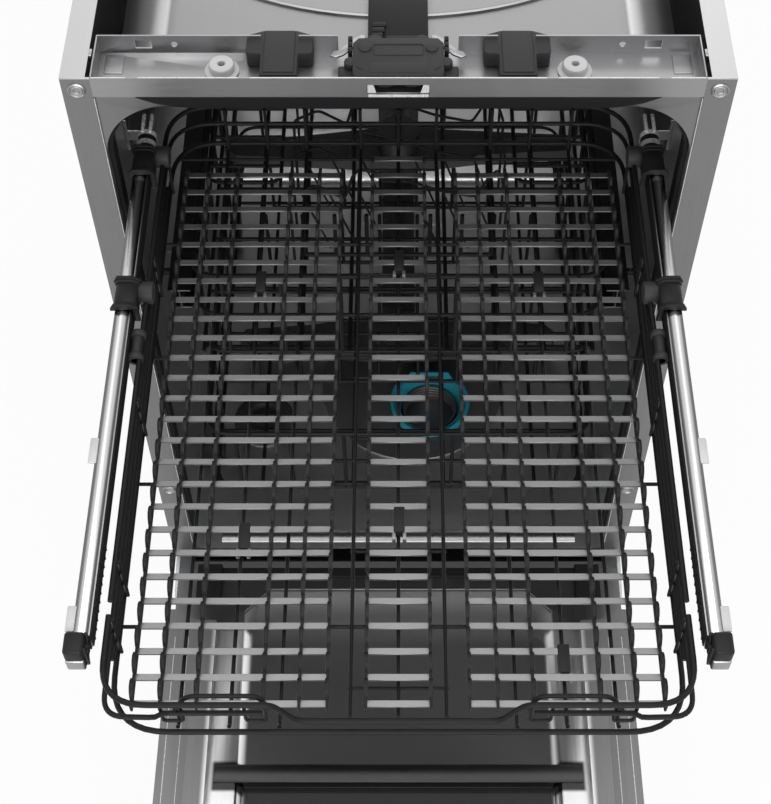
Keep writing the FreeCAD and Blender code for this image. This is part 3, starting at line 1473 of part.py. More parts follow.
dispenser_half, dispenser_length = recess_half - size("dispenser_margin"), size("dispenser_length")
dispenser_near = hinge_y - size("dispenser_offset")
dispenser_far = dispenser_near - dispenser_length
BEZEL_LIP = 8.0
liner_length = liner_end - fascia_end
rim = Part.makeBox(2 * door_half, liner_length, sheet, Vector(-door_half, fascia_end, liner_under))
dish = recess_solid(sheet, sheet)
dish_space = recess_solid(0.0, 0.0)
rim_opening = Part.Face(recess_frame(0.0, liner_under - sheet)).extrude(Vector(0, 0, 3 * sheet))
track_x = wheel_inner + wheel_width / 2
track_half, track_height = size("track_width") / 2, size("track_height")
track_start, track_end = recess_far, notch_y - 17.0
tracks, track_hollows = [], []
for side in (-1, 1):
    outer = Part.makeBox(2 * track_half, track_end - track_start, track_height,
                         Vector(side * track_x - track_half, track_start, liner_top))
    inner = Part.makeBox(2 * (track_half - sheet), track_end - track_start - 2 * sheet, track_height,
                         Vector(side * track_x - track_half + sheet, track_start + sheet, liner_under))
    tracks.append(outer)
    track_hollows.append(inner)
dispenser_hole = Part.makeBox(
    2 * (dispenser_half - BEZEL_LIP), dispenser_length - 2 * BEZEL_LIP, size("door_thick"),
    Vector(-dispenser_half + BEZEL_LIP, dispenser_far + BEZEL_LIP, door_low))
corner_notches = [
    Part.makeBox(half, half, 4 * sheet, Vector(x, notch_y, liner_under - sheet))
    for x in (notch_x, -notch_x - half)
]
liner_cuts = [dish_space, dispenser_hole] + track_hollows + corner_notches
liner_shape = rim.cut(rim_opening).fuse([dish] + tracks).cut(liner_cuts)


def ridge_outline(near, far, low, high):
    """A rounded bead across the door, in section."""
    shoulder = (low + 2 * high) / 3
    start, end = Vector(0, near, low), Vector(0, far, low)
    rise, fall = Vector(0, near, shoulder), Vector(0, far, shoulder)
    arch = Part.Arc(rise, Vector(0, (near + far) / 2, high), fall)
    sides = [Part.LineSegment(start, rise), arch, Part.LineSegment(fall, end), Part.LineSegment(end, start)]
    return Part.Face(Part.Wire([side.toShape() for side in sides]))


ridge_half, ridge_near = size("ridge_half"), hinge_y - size("ridge_offset")
ridge_far = ridge_near - size("ridge_width")
bead = ridge_outline(ridge_near, ridge_far, liner_under, liner_top + 3 * sheet)
bead = bead.translated(Vector(-ridge_half, 0, 0)).extrude(Vector(2 * ridge_half, 0, 0))
foot_half = recess_half - 0.25 * recess_slope
bead_foot = Part.makeBox(2 * foot_half, ridge_near - ridge_far - 2 * sheet, liner_top - recess_floor,
                         Vector(-foot_half, ridge_far + sheet, recess_floor - sheet / 2))
liner_shape = liner_shape.fuse(bead_foot).fuse(bead)
piece(shaped("door_inner_liner", liner_shape.removeSplitter()))

# Seal along the door's lower edge with a moulded block at each end
seal_bar = block("seal_bar", (-track_x, track_x), (hinge_y + 1.0, liner_end - 2.0),
                 (liner_top, liner_top + 4.0))
seal_blocks = block("seal_block", (track_x - 11.0, track_x + 13.0), (notch_y + 8.0, liner_end),
                    (liner_top, liner_top + 8.0))
piece(fuse("door_seal", seal_bar, seal_blocks, mirrored("seal_block_left", seal_blocks)))

# Striker on the fascia, which enters the lock
striker_half = size("striker_width") / 2
striker_low = rail_top_floor + 0.8
striker_high = striker_low + 4.0
striker_y_far = hinge_y - (striker_high - hinge_z)
striker_y_near = hinge_y - (striker_low - hinge_z)
striker_tongue = block("striker_tongue", (-striker_half, striker_half), (striker_y_far, striker_y_near),
                       (liner_top, liner_top + size("striker_reach")))
striker_foot = block("striker_foot", (-striker_half - 6.0, striker_half + 6.0),
                     (striker_y_far - 3.0, striker_y_near + 12.0),
                     (liner_top, liner_top + 1.4))
striker_window = block("striker_window", (-striker_half + 5.0, striker_half - 5.0),
                       (striker_y_far - 1.0, striker_y_near + 1.0),
                       (liner_top + 6.0, liner_top + size("striker_reach") - 4.0))
piece(cut("door_striker", fuse("striker_mass", striker_tongue, striker_foot), striker_window))

# Detergent and rinse-aid dispenser in the liner
bezel_top = recess_floor + 4.0
body_low = door_low + sheet + clearance
bezel = block("bezel", (-dispenser_half, dispenser_half), (dispenser_far, dispenser_near),
              (recess_floor, bezel_top))
dispenser_body = block("dispenser_body",
                       (-dispenser_half + 1.1 * BEZEL_LIP, dispenser_half - 1.1 * BEZEL_LIP),
                       (dispenser_far + 1.1 * BEZEL_LIP, dispenser_near - 1.1 * BEZEL_LIP),
                       (body_low, recess_floor))
dispenser_y = (dispenser_near + dispenser_far) / 2
CUP = (-112.0, -20.0, 42.0)
cup_left, cup_right, cup_half = CUP
LID_TRAVEL = 78.0
detergent_cup = block("detergent_cup", (cup_left, cup_right),
                      (dispenser_y - cup_half, dispenser_y + cup_half),
                      (body_low + FASCIA_WALL, bezel_top + sheet))
rinse_x, rinse_radius = 105.0, 11.0
rinse_hole = drum("rinse_hole", rinse_radius + clearance, 16.0, (rinse_x, dispenser_y, bezel_top - 12.0))
lid_margin, lid_thick = 5.0, 4.0
lid_low = bezel_top + clearance
guides = [
    block(f"lid_guide_{number}", (cup_left - lid_margin, cup_right + LID_TRAVEL), (y - 2.0, y + 2.0),
          (bezel_top, lid_low + lid_thick))
    for number, y in enumerate((dispenser_y - cup_half - lid_margin - 2.3,
                                dispenser_y + cup_half + lid_margin + 2.3))
]
piece(cut("dispenser_housing", fuse("dispenser_mass", bezel, dispenser_body, *guides), detergent_cup,
          rinse_hole))
lid_plate = block("lid_plate", (cup_left - lid_margin, cup_right + lid_margin),
                  (dispenser_y - cup_half - lid_margin, dispenser_y + cup_half + lid_margin),
                  (lid_low, lid_low + lid_thick))
lid_grip = block("lid_grip", (cup_right - 8.0, cup_right),
                 (dispenser_y - cup_half * 0.6, dispenser_y + cup_half * 0.6),
                 (lid_low + lid_thick, lid_low + lid_thick + 2.0))
piece(fuse("dispenser_lid", lid_plate, lid_grip))
rinse_outline = [
    (0.0, -10.0),
    (rinse_radius, -10.0),
    (rinse_radius, 0.0),
    (rinse_radius + 5.0, 0.0),
    (rinse_radius + 5.0, 4.0),
    (rinse_radius + 2.0, 5.5),
    (0.0, 5.5),
]
rinse_knob = turned("rinse_knob", rinse_outline, (rinse_x, dispenser_y, lid_low))
rinse_grip = block("rinse_grip", (rinse_x - rinse_radius, rinse_x + rinse_radius),
                   (dispenser_y - 1.5, dispenser_y + 1.5),
                   (lid_low + 5.0, lid_low + 8.0))
piece(fuse("rinse_cap", rinse_knob, rinse_grip))


# Export
doc.recompute()
for item in doc.Objects:
    if "Invalid" in item.State or "Error" in item.State:
        raise RuntimeError(f"{item.Label} failed to rebuild: {item.State}")
for item in pieces:
    if item.Shape.isNull() or not item.Shape.isValid():
        raise RuntimeError(f"{item.Label} has no valid shape")
os.makedirs("parts", exist_ok=True)
for item in pieces:
    item.Shape.exportStep(f"parts/{item.Label}.step")
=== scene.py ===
"""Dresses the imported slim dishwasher: round wires, brushed steel, moulded plastics, a stage and a camera."""

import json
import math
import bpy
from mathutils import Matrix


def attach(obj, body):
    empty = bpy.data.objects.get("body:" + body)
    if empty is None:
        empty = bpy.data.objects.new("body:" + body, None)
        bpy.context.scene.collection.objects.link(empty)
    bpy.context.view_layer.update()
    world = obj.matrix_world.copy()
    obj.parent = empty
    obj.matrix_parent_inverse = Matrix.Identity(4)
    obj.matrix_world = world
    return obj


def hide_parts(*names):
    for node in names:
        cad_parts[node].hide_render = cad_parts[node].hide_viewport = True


bl_info = {
    "name": "Slim Dishwasher",
    "version": (1, 0, 0),
    "blender": (4, 5, 0),
    "location": "View3D > Sidebar > Dishwasher",
    "description": "Builds the visible pieces of a slim built-in dishwasher over its packed model",
    "category": "Object",
}

import bmesh
import bpy
from bpy.props import FloatProperty, FloatVectorProperty, IntProperty, PointerProperty
from mathutils import Matrix, Vector

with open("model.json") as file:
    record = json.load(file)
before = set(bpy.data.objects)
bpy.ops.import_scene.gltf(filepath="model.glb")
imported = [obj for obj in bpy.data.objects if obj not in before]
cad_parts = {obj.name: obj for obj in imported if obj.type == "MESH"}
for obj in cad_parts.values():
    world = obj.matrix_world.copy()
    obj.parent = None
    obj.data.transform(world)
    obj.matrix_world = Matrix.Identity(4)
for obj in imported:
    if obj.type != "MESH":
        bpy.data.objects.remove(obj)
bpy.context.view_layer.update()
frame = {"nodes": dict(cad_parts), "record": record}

# Lengths are in millimetres; FRONT is the plane of the cabinet's front
MM = 0.001
FRONT = -257.5
HALF_WIDTH = 224.0
IMAGE_WIDTH, IMAGE_HEIGHT = 771, 804


# Properties that a user would change
def colour_property(name, description, default):
    return FloatVectorProperty(name=name, description=description, subtype="COLOR", size=3, min=0.0, max=1.0,
                               default=default)


def length_property(name, description, default):
    return FloatProperty(name=name, description=description, unit="LENGTH", min=0.0, default=default * MM)


class DishwasherColours(bpy.types.PropertyGroup):
    steel: colour_property("Front steel", "Brushed steel of the side panels and posts", (0.23, 0.23, 0.235))
    rail: colour_property("Rail steel", "Brushed steel of the top rail", (0.34, 0.34, 0.345))
    # Tub steel is made lighter than the outer steel to brighten the inside of the tub: painted light
    tub_steel: colour_property("Tub steel", "Satin steel inside the tub", (0.64, 0.64, 0.645))
    # Inner door steel; its material adds painted shade on the recess floor and a painted highlight on the
    # recess walls
    door_steel: colour_property("Door steel", "Satin steel of the inner door", (0.15, 0.15, 0.152))
    zinc: colour_property("Sheet coating", "Coated sheet of the rear and the outer door", (0.44, 0.45, 0.46))
    chrome: colour_property("Rail plating", "Plating of the tray rails and the hinges", (0.55, 0.55, 0.555))
    wire: colour_property("Wire coating", "Dark coating of the baskets' wires", (0.010, 0.010, 0.011))
    plastic: colour_property("Black plastic", "Clips, caps, combs and wheels", (0.014, 0.014, 0.015))
    lock: colour_property("Lock plastic", "Lock housing and rail blocks", (0.034, 0.034, 0.035))
    slat: colour_property("Slat plastic", "Flat slats of the cutlery inserts", (0.19, 0.19, 0.19))
    pale: colour_property("Pale plastic", "Bushes and water fittings", (0.56, 0.56, 0.56))
    filter: colour_property("Filter plastic", "Micro filter", (0.016, 0.25, 0.33))
    rubber: colour_property("Rubber", "Seals", (0.010, 0.010, 0.011))


class DishwasherSizes(bpy.types.PropertyGroup):
    tray_wire: length_property("Tray rim wire", "Radius of the tray's rim wires", 1.8)
    floor_wire: length_property("Tray floor wire", "Radius of the tray's floor wires", 1.3)
    basket_wire: length_property("Basket wire", "Radius of the baskets' wires", 1.8)
    rim_wire: length_property("Basket rim wire", "Radius of the baskets' rim wires", 2.4)
    slat_width: length_property("Slat width", "Width of an insert's slat", 4.4)
    slat_pitch: length_property("Slat pitch", "Distance from slat to slat", 17.2)
    wire_sides: IntProperty(name="Wire sides", description="Faces round a wire", default=10, min=6, max=24)


def colours():
    return bpy.context.scene.dishwasher_colours


def sizes():
    return bpy.context.scene.dishwasher_sizes


# Shader nodes
def connect(tree, node, inputs):
    """Gives a node its inputs, each as a socket or as a plain value."""
    for label, value in inputs.items():
        if isinstance(value, bpy.types.NodeSocket):
            tree.links.new(value, node.inputs[label])
        else:
            node.inputs[label].default_value = value
    return node


def add_node(tree, kind, inputs, **settings):
    """A new node with its settings and inputs."""
    node = tree.nodes.new(kind)
    for key, value in settings.items():
        setattr(node, key, value)
    return connect(tree, node, inputs)


def calculate(tree, operation, *values):
    """A math node on sockets or numbers."""
    return add_node(tree, "ShaderNodeMath", dict(enumerate(values)), operation=operation).outputs[0]


def blend(tree, colour, other, factor, kind="MIX"):
    """Blends the colour of a socket towards another one by a factor socket."""
    inputs = {"Factor": factor, "A": colour, "B": (*other, 1.0)}
    return add_node(tree, "ShaderNodeMix", inputs, data_type="RGBA", blend_type=kind).outputs["Result"]


# Node group shared by the materials: broad patches and fine grain
SURFACE_INPUTS = (
    ("Color", "NodeSocketColor", (0.5, 0.5, 0.5, 1.0)),
    ("Roughness", "NodeSocketFloat", 0.4),
    ("Spread", "NodeSocketFloat", 0.1),
    ("Amount", "NodeSocketFloat", 0.2),
    ("Scale", "NodeSocketFloat", 60.0),
)
SURFACE_OUTPUTS = (
    ("Color", "NodeSocketColor"),
    ("Roughness", "NodeSocketFloat"),
    ("Height", "NodeSocketFloat"),
)
BROAD_SCALE, BROAD_DETAIL, BROAD_SHARE = 7.0, 3.0, 0.35
SHADE = (0.25, 0.25, 0.26)
PATTERN_LOW, PATTERN_HIGH = 0.3, 0.7
RELIEF_DEPTH = 0.4
GROUPS = {}
MATERIALS = {}


def surface_group(name, stretch, detail):
    """Varies a colour and a roughness over the surface and gives a height for a bump."""
    group = bpy.data.node_groups.new(name, "ShaderNodeTree")
    for label, kind, default in SURFACE_INPUTS:
        socket = group.interface.new_socket(name=label, in_out="INPUT", socket_type=kind)
        socket.default_value = default
    for label, kind in SURFACE_OUTPUTS:
        group.interface.new_socket(name=label, in_out="OUTPUT", socket_type=kind)
    given = group.nodes.new("NodeGroupInput").outputs
    place = group.nodes.new("ShaderNodeTexCoord").outputs["Object"]
    stretched = add_node(group, "ShaderNodeMapping", {"Vector": place, "Scale": stretch}).outputs["Vector"]
    fine = add_node(group, "ShaderNodeTexNoise",
                    {"Vector": stretched, "Scale": given["Scale"], "Detail": detail}).outputs["Fac"]
    broad = add_node(group, "ShaderNodeTexNoise",
                     {"Vector": place, "Scale": BROAD_SCALE, "Detail": BROAD_DETAIL}).outputs["Fac"]
    pattern = calculate(group, "MULTIPLY_ADD", broad, BROAD_SHARE,
                        calculate(group, "MULTIPLY", fine, 1.0 - BROAD_SHARE))
    shade = calculate(group, "MULTIPLY", pattern, given["Amount"])
    rough = add_node(group, "ShaderNodeMapRange", {
        "Value": pattern, "From Min": PATTERN_LOW, "From Max": PATTERN_HIGH,
        "To Min": calculate(group, "SUBTRACT", given["Roughness"], given["Spread"]),
        "To Max": calculate(group, "ADD", given["Roughness"], given["Spread"])})
    add_node(group, "NodeGroupOutput", {
        "Color": blend(group, given["Color"], SHADE, shade, "MULTIPLY"),
        "Roughness": rough.outputs["Result"], "Height": fine})
    return group


def build_groups():
    GROUPS["grain"] = surface_group("fine_grain", (1.0, 1.0, 1.0), 5.0)
    GROUPS["upright"] = surface_group("upright_brushing", (1.0, 1.0, 0.02), 3.0)
    GROUPS["across"] = surface_group("cross_brushing", (0.02, 1.0, 1.0), 3.0)
    GROUPS["lengthwise"] = surface_group("lengthwise_brushing", (1.0, 0.02, 1.0), 3.0)


def material(name, colour, group, roughness, spread, amount, scale, bump, metallic=0.0, specular=0.5):
    """A Principled material whose colour, roughness and bump come from one of the groups."""
    made = bpy.data.materials.new(name)
    made.use_nodes = True
    tree = made.node_tree
    values = {"Color": (*colour, 1.0), "Roughness": roughness, "Spread": spread, "Amount": amount,
              "Scale": scale}
    surface = add_node(tree, "ShaderNodeGroup", values, node_tree=GROUPS[group]).outputs
    relief = add_node(tree, "ShaderNodeBump",
                      {"Strength": bump, "Distance": RELIEF_DEPTH * MM, "Height": surface["Height"]})
    connect(tree, tree.nodes["Principled BSDF"], {
        "Base Color": surface["Color"], "Roughness": surface["Roughness"], "Normal": relief.outputs["Normal"],
        "Metallic": metallic, "Specular IOR Level": specular})
    MATERIALS[name] = made
    return made


def ramp(tree, value, middle, soft):
    """A smooth step of a length round a place in millimetres."""
    inputs = {"Value": value, "From Min": (middle - soft) * MM, "From Max": (middle + soft) * MM}
    return add_node(tree, "ShaderNodeMapRange", inputs, interpolation_type="SMOOTHSTEP").outputs["Result"]


def tint_zone(made, colour, soft, **zone):
    """Tints the part of a surface between two distances from the middle plane of each named axis."""
    tree = made.node_tree
    place = tree.nodes.new("ShaderNodeTexCoord").outputs["Object"]
    split = add_node(tree, "ShaderNodeSeparateXYZ", {"Vector": place}).outputs
    mask = None
    for axis, (low, high) in zone.items():
        distance = calculate(tree, "ABSOLUTE", split[axis])
        inside = calculate(tree, "SUBTRACT", ramp(tree, distance, low, soft),
                           ramp(tree, distance, high, soft))
        mask = inside if mask is None else calculate(tree, "MULTIPLY", mask, inside)
    base = tree.nodes["Principled BSDF"].inputs["Base Color"]
    tree.links.new(blend(tree, base.links[0].from_socket, colour, mask), base)


# Each finish: colour, grain, roughness and its spread, amount of shade, scale of the grain and bump
def build_materials():
    c = colours()
    made = material("front_steel", c.steel, "upright", 0.36, 0.06, 0.25, 900.0, 0.05, metallic=1.0)
    tint_zone(made, (0.46, 0.46, 0.465), 0.3, Z=(813.9, 830.0))
    material("rail_steel", c.rail, "across", 0.33, 0.06, 0.25, 900.0, 0.05, metallic=1.0)
    # Painted light: the tub's steel is lightened to brighten its inside; its top and its front flange are
    # tinted darker
    made = material("tub_steel", c.tub_steel, "grain", 0.34, 0.05, 0.22, 420.0, 0.04, metallic=1.0)
    tint_zone(made, (0.24, 0.24, 0.243), 0.3, Z=(789.4, 830.0))
    tint_zone(made, (0.20, 0.20, 0.203), 0.3, Y=(256.0, 270.0))
    made = material("door_steel", c.door_steel, "lengthwise", 0.34, 0.05, 0.22, 700.0, 0.04, metallic=1.0)
    # Painted shade: the floor of the door's recess is darkened
    tint_zone(made, (0.055, 0.055, 0.056), 5.0, Z=(100.0, 166.0), X=(-9.0, 176.0))
    # Painted highlight: the sloping walls beside the recess are lightened
    tint_zone(made, (0.60, 0.60, 0.605), 3.0, X=(144.0, 178.0), Y=(340.0, 880.0))
    # The bead across the liner is darkened to near black
    tint_zone(made, (0.045, 0.045, 0.046), 2.0, X=(-9.0, 171.0), Y=(474.0, 502.0))
    material("side_sheet", c.zinc, "grain", 0.46, 0.08, 0.3, 240.0, 0.08, metallic=0.85)
    made = material("bright_plating", c.chrome, "lengthwise", 0.18, 0.03, 0.12, 500.0, 0.02, metallic=1.0)
    # Painted reflection on the rails: darker stripes along both edges and a painted highlight stripe down the
    # middle
    for low, high, shade in ((179.0, 183.2, 0.10), (185.4, 187.2, 0.95), (189.0, 194.0, 0.16)):
        tint_zone(made, (shade, shade, shade), 0.9, X=(low, high))
    # Pale steel, lightened so that the rail forks stay bright in the cabinet's shade: painted light. It also
    # colours the painted fold highlights and the lock's cheeks
    material("fork_steel", (0.72, 0.72, 0.72), "grain", 0.28, 0.04, 0.15, 300.0, 0.03, metallic=0.35)
    material("runner_steel", (0.09, 0.09, 0.092), "lengthwise", 0.34, 0.05, 0.2, 500.0, 0.03, metallic=1.0)
    material("satin_plating", (0.30, 0.30, 0.305), "lengthwise", 0.30, 0.05, 0.2, 500.0, 0.03, metallic=1.0)
    material("screw_steel", (0.36, 0.36, 0.365), "grain", 0.34, 0.06, 0.25, 300.0, 0.05, metallic=1.0)
    material("filter_mesh", (0.22, 0.22, 0.225), "grain", 0.40, 0.06, 0.3, 1400.0, 0.3, metallic=0.9)
    material("hardware_steel", c.chrome, "grain", 0.28, 0.06, 0.25, 300.0, 0.05, metallic=1.0)
    material("wire_coating", c.wire, "grain", 0.40, 0.05, 0.3, 500.0, 0.04, specular=0.12)
    material("black_plastic", c.plastic, "grain", 0.42, 0.06, 0.3, 900.0, 0.12, specular=0.14)
    material("lock_plastic", c.lock, "grain", 0.50, 0.06, 0.25, 1100.0, 0.15, specular=0.15)
    material("slat_plastic", c.slat, "grain", 0.34, 0.03, 0.12, 240.0, 0.01, metallic=0.7)
    material("pale_plastic", c.pale, "grain", 0.42, 0.06, 0.2, 700.0, 0.08)
    material("filter_plastic", c.filter, "grain", 0.38, 0.06, 0.3, 500.0, 0.08)
    material("soft_rubber", c.rubber, "grain", 0.62, 0.08, 0.3, 800.0, 0.15, specular=0.1)
    material("spray_plastic", (0.030, 0.030, 0.032), "grain", 0.42, 0.06, 0.3, 700.0, 0.10)
    material("base_plastic", (0.020, 0.020, 0.021), "grain", 0.55, 0.08, 0.35, 500.0, 0.20)


# Lines and outlines, in millimetres
CORNER_LIMIT = 0.48


def mm(point):
    return Vector(point) * MM


def arc(centre, radius, start, end, steps):
    """Points of an arc in a plane, by angles in degrees."""
    angles = [math.radians(angle) for angle in evenly(start, end, steps + 1)]
    return [(centre[0] + radius * math.cos(angle), centre[1] + radius * math.sin(angle)) for angle in angles]


def evenly(low, high, count):
    """Evenly spaced places from low to high."""
    return [low + (high - low) * number / (count - 1) for number in range(count)]


def symmetric(half, middle=0.0):
    """A whole outline from its half, whose points are given by their distance from the middle."""
    return [*((middle - a, b) for a, b in half), *((middle + a, b) for a, b in reversed(half))]


def both_sides(points):
    """Joins a line that ends in the middle plane with its mirror image."""
    return [*points, *((-x, y, z) for x, y, z in reversed(points[:-1]))]


def rounded(points, corner, steps=5, closed=False):
    """A line of points with its corners rounded."""
    points = [Vector(point) for point in points]
    count = len(points)
    result = []
    for index, point in enumerate(points):
        if not closed and index in (0, count - 1):
            result.append(point)
            continue
        before, after = points[index - 1] - point, points[(index + 1) % count] - point
        reach = min(corner, before.length * CORNER_LIMIT, after.length * CORNER_LIMIT)
        start, end = point + before.normalized() * reach, point + after.normalized() * reach
        for step in range(steps + 1):
            share = step / steps
            result.append(start.lerp(point, share).lerp(point.lerp(end, share), share))
    return result


# Shapes in a bmesh
BOX_LIMIT = 0.45
SHARP_ANGLE = math.radians(40.0)


def round_edges(bm, edges, offset, segments=2, clamp=False):
    bmesh.ops.bevel(bm, geom=edges, offset=offset, offset_type="OFFSET", segments=segments, profile=0.5,
                    affect="EDGES", clamp_overlap=clamp, material=-1)


def edges_at(verts):
    return list({edge for vert in verts for edge in vert.link_edges})


def only_verts(items):
    return [item for item in items if isinstance(item, bmesh.types.BMVert)]


def facing(direction):
    """The turn that takes Z to a direction."""
    return Vector(direction).normalized().to_track_quat("Z", "Y").to_matrix().to_4x4()


def box(bm, low, high, soften, segments=2):
    """A block between two corners, with its edges rounded."""
    low, high = mm(low), mm(high)
    size = high - low
    place = Matrix.Translation((low + high) / 2) @ Matrix.Diagonal((*size, 1.0))
    made = bmesh.ops.create_cube(bm, size=1.0, matrix=place)
    round_edges(bm, edges_at(made["verts"]), min(soften * MM, min(size) * BOX_LIMIT), segments)


def drum(bm, base, direction, radius, length, soften, sides):
    """A round bar from its base along a direction, with its rims rounded."""
    middle = mm(base) + Vector(direction).normalized() * (length * MM / 2)
    made = bmesh.ops.create_cone(bm, cap_ends=True, segments=sides, radius1=radius * MM, radius2=radius * MM,
                                 depth=length * MM, matrix=Matrix.Translation(middle) @ facing(direction))
    rims = [edge for edge in edges_at(made["verts"]) if any(len(face.verts) > 4 for face in edge.link_faces)]
    round_edges(bm, rims, soften * MM)


def wire(bm, points, radius, sides=None, closed=False):
    """A round wire swept along a line of points."""
    sides = sides or sizes().wire_sides
    points = [mm(point) for point in points]
    count = len(points)
    turns = []
    turn = None
    for index, point in enumerate(points):
        before = points[index - 1] if index or closed else point
        after = points[(index + 1) % count] if index < count - 1 or closed else point
        along = (after - before).normalized()
        if turn is None:
            turn = along.to_track_quat("Z", "Y")
        else:
            turn = (turn @ Vector((0, 0, 1))).rotation_difference(along) @ turn
        turns.append(Matrix.Translation(point) @ turn.to_matrix().to_4x4())
    ring = bmesh.ops.create_circle(bm, cap_ends=False, segments=sides, radius=radius * MM, matrix=turns[0])
    first = edges_at(ring["verts"])
    edges = first
    for index in range(1, count):
        grown = bmesh.ops.extrude_edge_only(bm, edges=edges)["geom"]
        verts = only_verts(grown)
        fresh = set(verts)
        edges = [item for item in grown if isinstance(item, bmesh.types.BMEdge) and set(item.verts) <= fresh]
        bmesh.ops.transform(bm, matrix=turns[index] @ turns[index - 1].inverted(), verts=verts)
    if closed:
        bmesh.ops.bridge_loops(bm, edges=first + edges)
    else:
        bmesh.ops.contextual_create(bm, geom=first)
        bmesh.ops.contextual_create(bm, geom=edges)


def plate(bm, outline, normal, low, high, soften=0.0):
    """A flat outline along one axis: (x, y) for Z, (x, z) for Y and (y, z) for X."""
    axis = "XYZ".index(normal)
    verts = [bm.verts.new(mm((*point[:axis], low, *point[axis:]))) for point in outline]
    rim = [bm.edges.new(pair) for pair in zip(verts, verts[1:] + verts[:1])]
    face = bmesh.ops.edgeloop_fill(bm, edges=rim)["faces"][0]
    moved = only_verts(bmesh.ops.extrude_face_region(bm, geom=[face], use_keep_orig=True)["geom"])
    rise = Vector((0.0, 0.0, 0.0))
    rise[axis] = (high - low) * MM
    bmesh.ops.translate(bm, verts=moved, vec=rise)
    if soften:
        sharp = [edge for edge in edges_at(verts + moved) if edge.calc_face_angle(0.0) > SHARP_ANGLE]
        round_edges(bm, sharp, soften * MM, clamp=True)


def lathe(bm, outline, place, direction=(0, 0, 1), steps=40):
    """An outline of (radius, height) spun round an axis."""
    turn = Matrix.Translation(mm(place)) @ facing(direction)
    verts = [bm.verts.new(turn @ mm((radius, 0.0, height))) for radius, height in outline]
    edges = [bm.edges.new(pair) for pair in zip(verts, verts[1:])]
    bmesh.ops.spin(bm, geom=verts + edges, cent=mm(place), axis=Vector(direction), angle=math.tau,
                   steps=steps, use_merge=True, use_duplicate=False)


def mirror_x(bm):
    """Adds the mirror image on the other side of the machine."""
    copy = bmesh.ops.duplicate(bm, geom=bm.verts[:] + bm.edges[:] + bm.faces[:])["geom"]
    bmesh.ops.scale(bm, verts=only_verts(copy), vec=(-1.0, 1.0, 1.0))


# Pieces and CAD nodes: welding distances in metres, angles in degrees
WELD, SKIN_WELD = 1e-6, 2e-6
SMOOTH_ANGLE, WIRE_SMOOTH_ANGLE, SKIN_SMOOTH_ANGLE = 38.0, 60.0, 35.0
FLAT_ANGLE, ROUNDING_ANGLE = 1.0, 50.0


def finish_piece(name, bm, finish, body, *nodes, smooth=SMOOTH_ANGLE):
    """Turns the bmesh into a piece that rides on a body and stands for the given nodes."""
    bmesh.ops.remove_doubles(bm, verts=bm.verts[:], dist=WELD)
    bmesh.ops.recalc_face_normals(bm, faces=bm.faces[:])
    mesh = bpy.data.meshes.new(name)
    bm.to_mesh(mesh)
    bm.free()
    mesh.polygons.foreach_set("use_smooth", [True] * len(mesh.polygons))
    mesh.set_sharp_from_angle(angle=math.radians(smooth))
    made = bpy.data.objects.new(name, mesh)
    bpy.context.scene.collection.objects.link(made)
    mesh.materials.append(MATERIALS[finish])
    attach(made, body)
    if nodes:
        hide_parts(*nodes)
    return made


def finish_wires(name, bm, body, *nodes):
    finish_piece(name, bm, "wire_coating", body, *nodes, smooth=WIRE_SMOOTH_ANGLE)


def body_of(node):
    return next(body for body, nodes in frame["record"]["behaviour"]["bodies"].items() if node in nodes)


def softened_copy(node, finish, edge):
    """A copy of a CAD node with merged faces, smooth curves and rounded edges, in place of the node."""
    bm = bmesh.new()
    bm.from_mesh(frame["nodes"][node].data)
    bmesh.ops.remove_doubles(bm, verts=bm.verts[:], dist=SKIN_WELD)
    bmesh.ops.dissolve_limit(bm, angle_limit=math.radians(FLAT_ANGLE), verts=bm.verts[:], edges=bm.edges[:])
    made = finish_piece(f"{node}_skin", bm, finish, body_of(node), node, smooth=SKIN_SMOOTH_ANGLE)
    rounding = made.modifiers.new("edge_rounding", "BEVEL")
    rounding.width = edge * MM
    rounding.segments = 2
    rounding.limit_method = "ANGLE"
    rounding.angle_limit = math.radians(ROUNDING_ANGLE)
    rounding.use_clamp_overlap = True


def dress(node, finish):
    """Gives a CAD node its material."""
    shown = frame["nodes"][node]
    if not shown.material_slots:
        shown.data.materials.append(MATERIALS[finish])
    for slot in shown.material_slots:
        slot.material = MATERIALS[finish]


# CAD nodes that get a smooth skin: finish, edge rounding, nodes
SKINS = (
    ("front_steel", 0.5, ("left_side_panel", "right_side_panel")),
    ("rail_steel", 0.5, ("top_rail",)),
    ("tub_steel", 0.5, ("tub",)),
    ("filter_mesh", 0.5, ("filter_plate",)),
    ("side_sheet", 0.6, ("rear_cover", "hinge_brackets", "door_outer_panel")),
    ("hardware_steel", 0.5, ("hinge_pins", "hinge_arms", "door_striker")),
    ("satin_plating", 0.4, ("tray_mid_rails", "tray_outer_rails")),
    ("runner_steel", 0.4, ("upper_runners",)),
    ("black_plastic", 0.8, ("control_fascia", "power_button", "program_button", "start_button",
                            "wall_rollers", "upper_basket_rollers", "front_wheels", "rear_wheels",
                            "cable_duct")),
    ("lock_plastic", 1.0, ("dispenser_housing", "dispenser_lid", "rinse_cap", "salt_cap")),
    ("pale_plastic", 1.2, ("softener_tank", "inlet_valve", "cable_gland")),
    ("soft_rubber", 0.8, ("tub_gasket", "door_seal")),
    ("spray_plastic", 2.0, ("lower_spray_arm", "upper_spray_arm", "spray_carrier", "feed_tube")),
    ("spray_plastic", 1.0, ("sump",)),
    ("base_plastic", 1.2, ("base_pan", "circulation_pump", "drain_pump", "levelling_feet")),
    ("door_steel", 1.6, ("door_inner_liner",)),
)
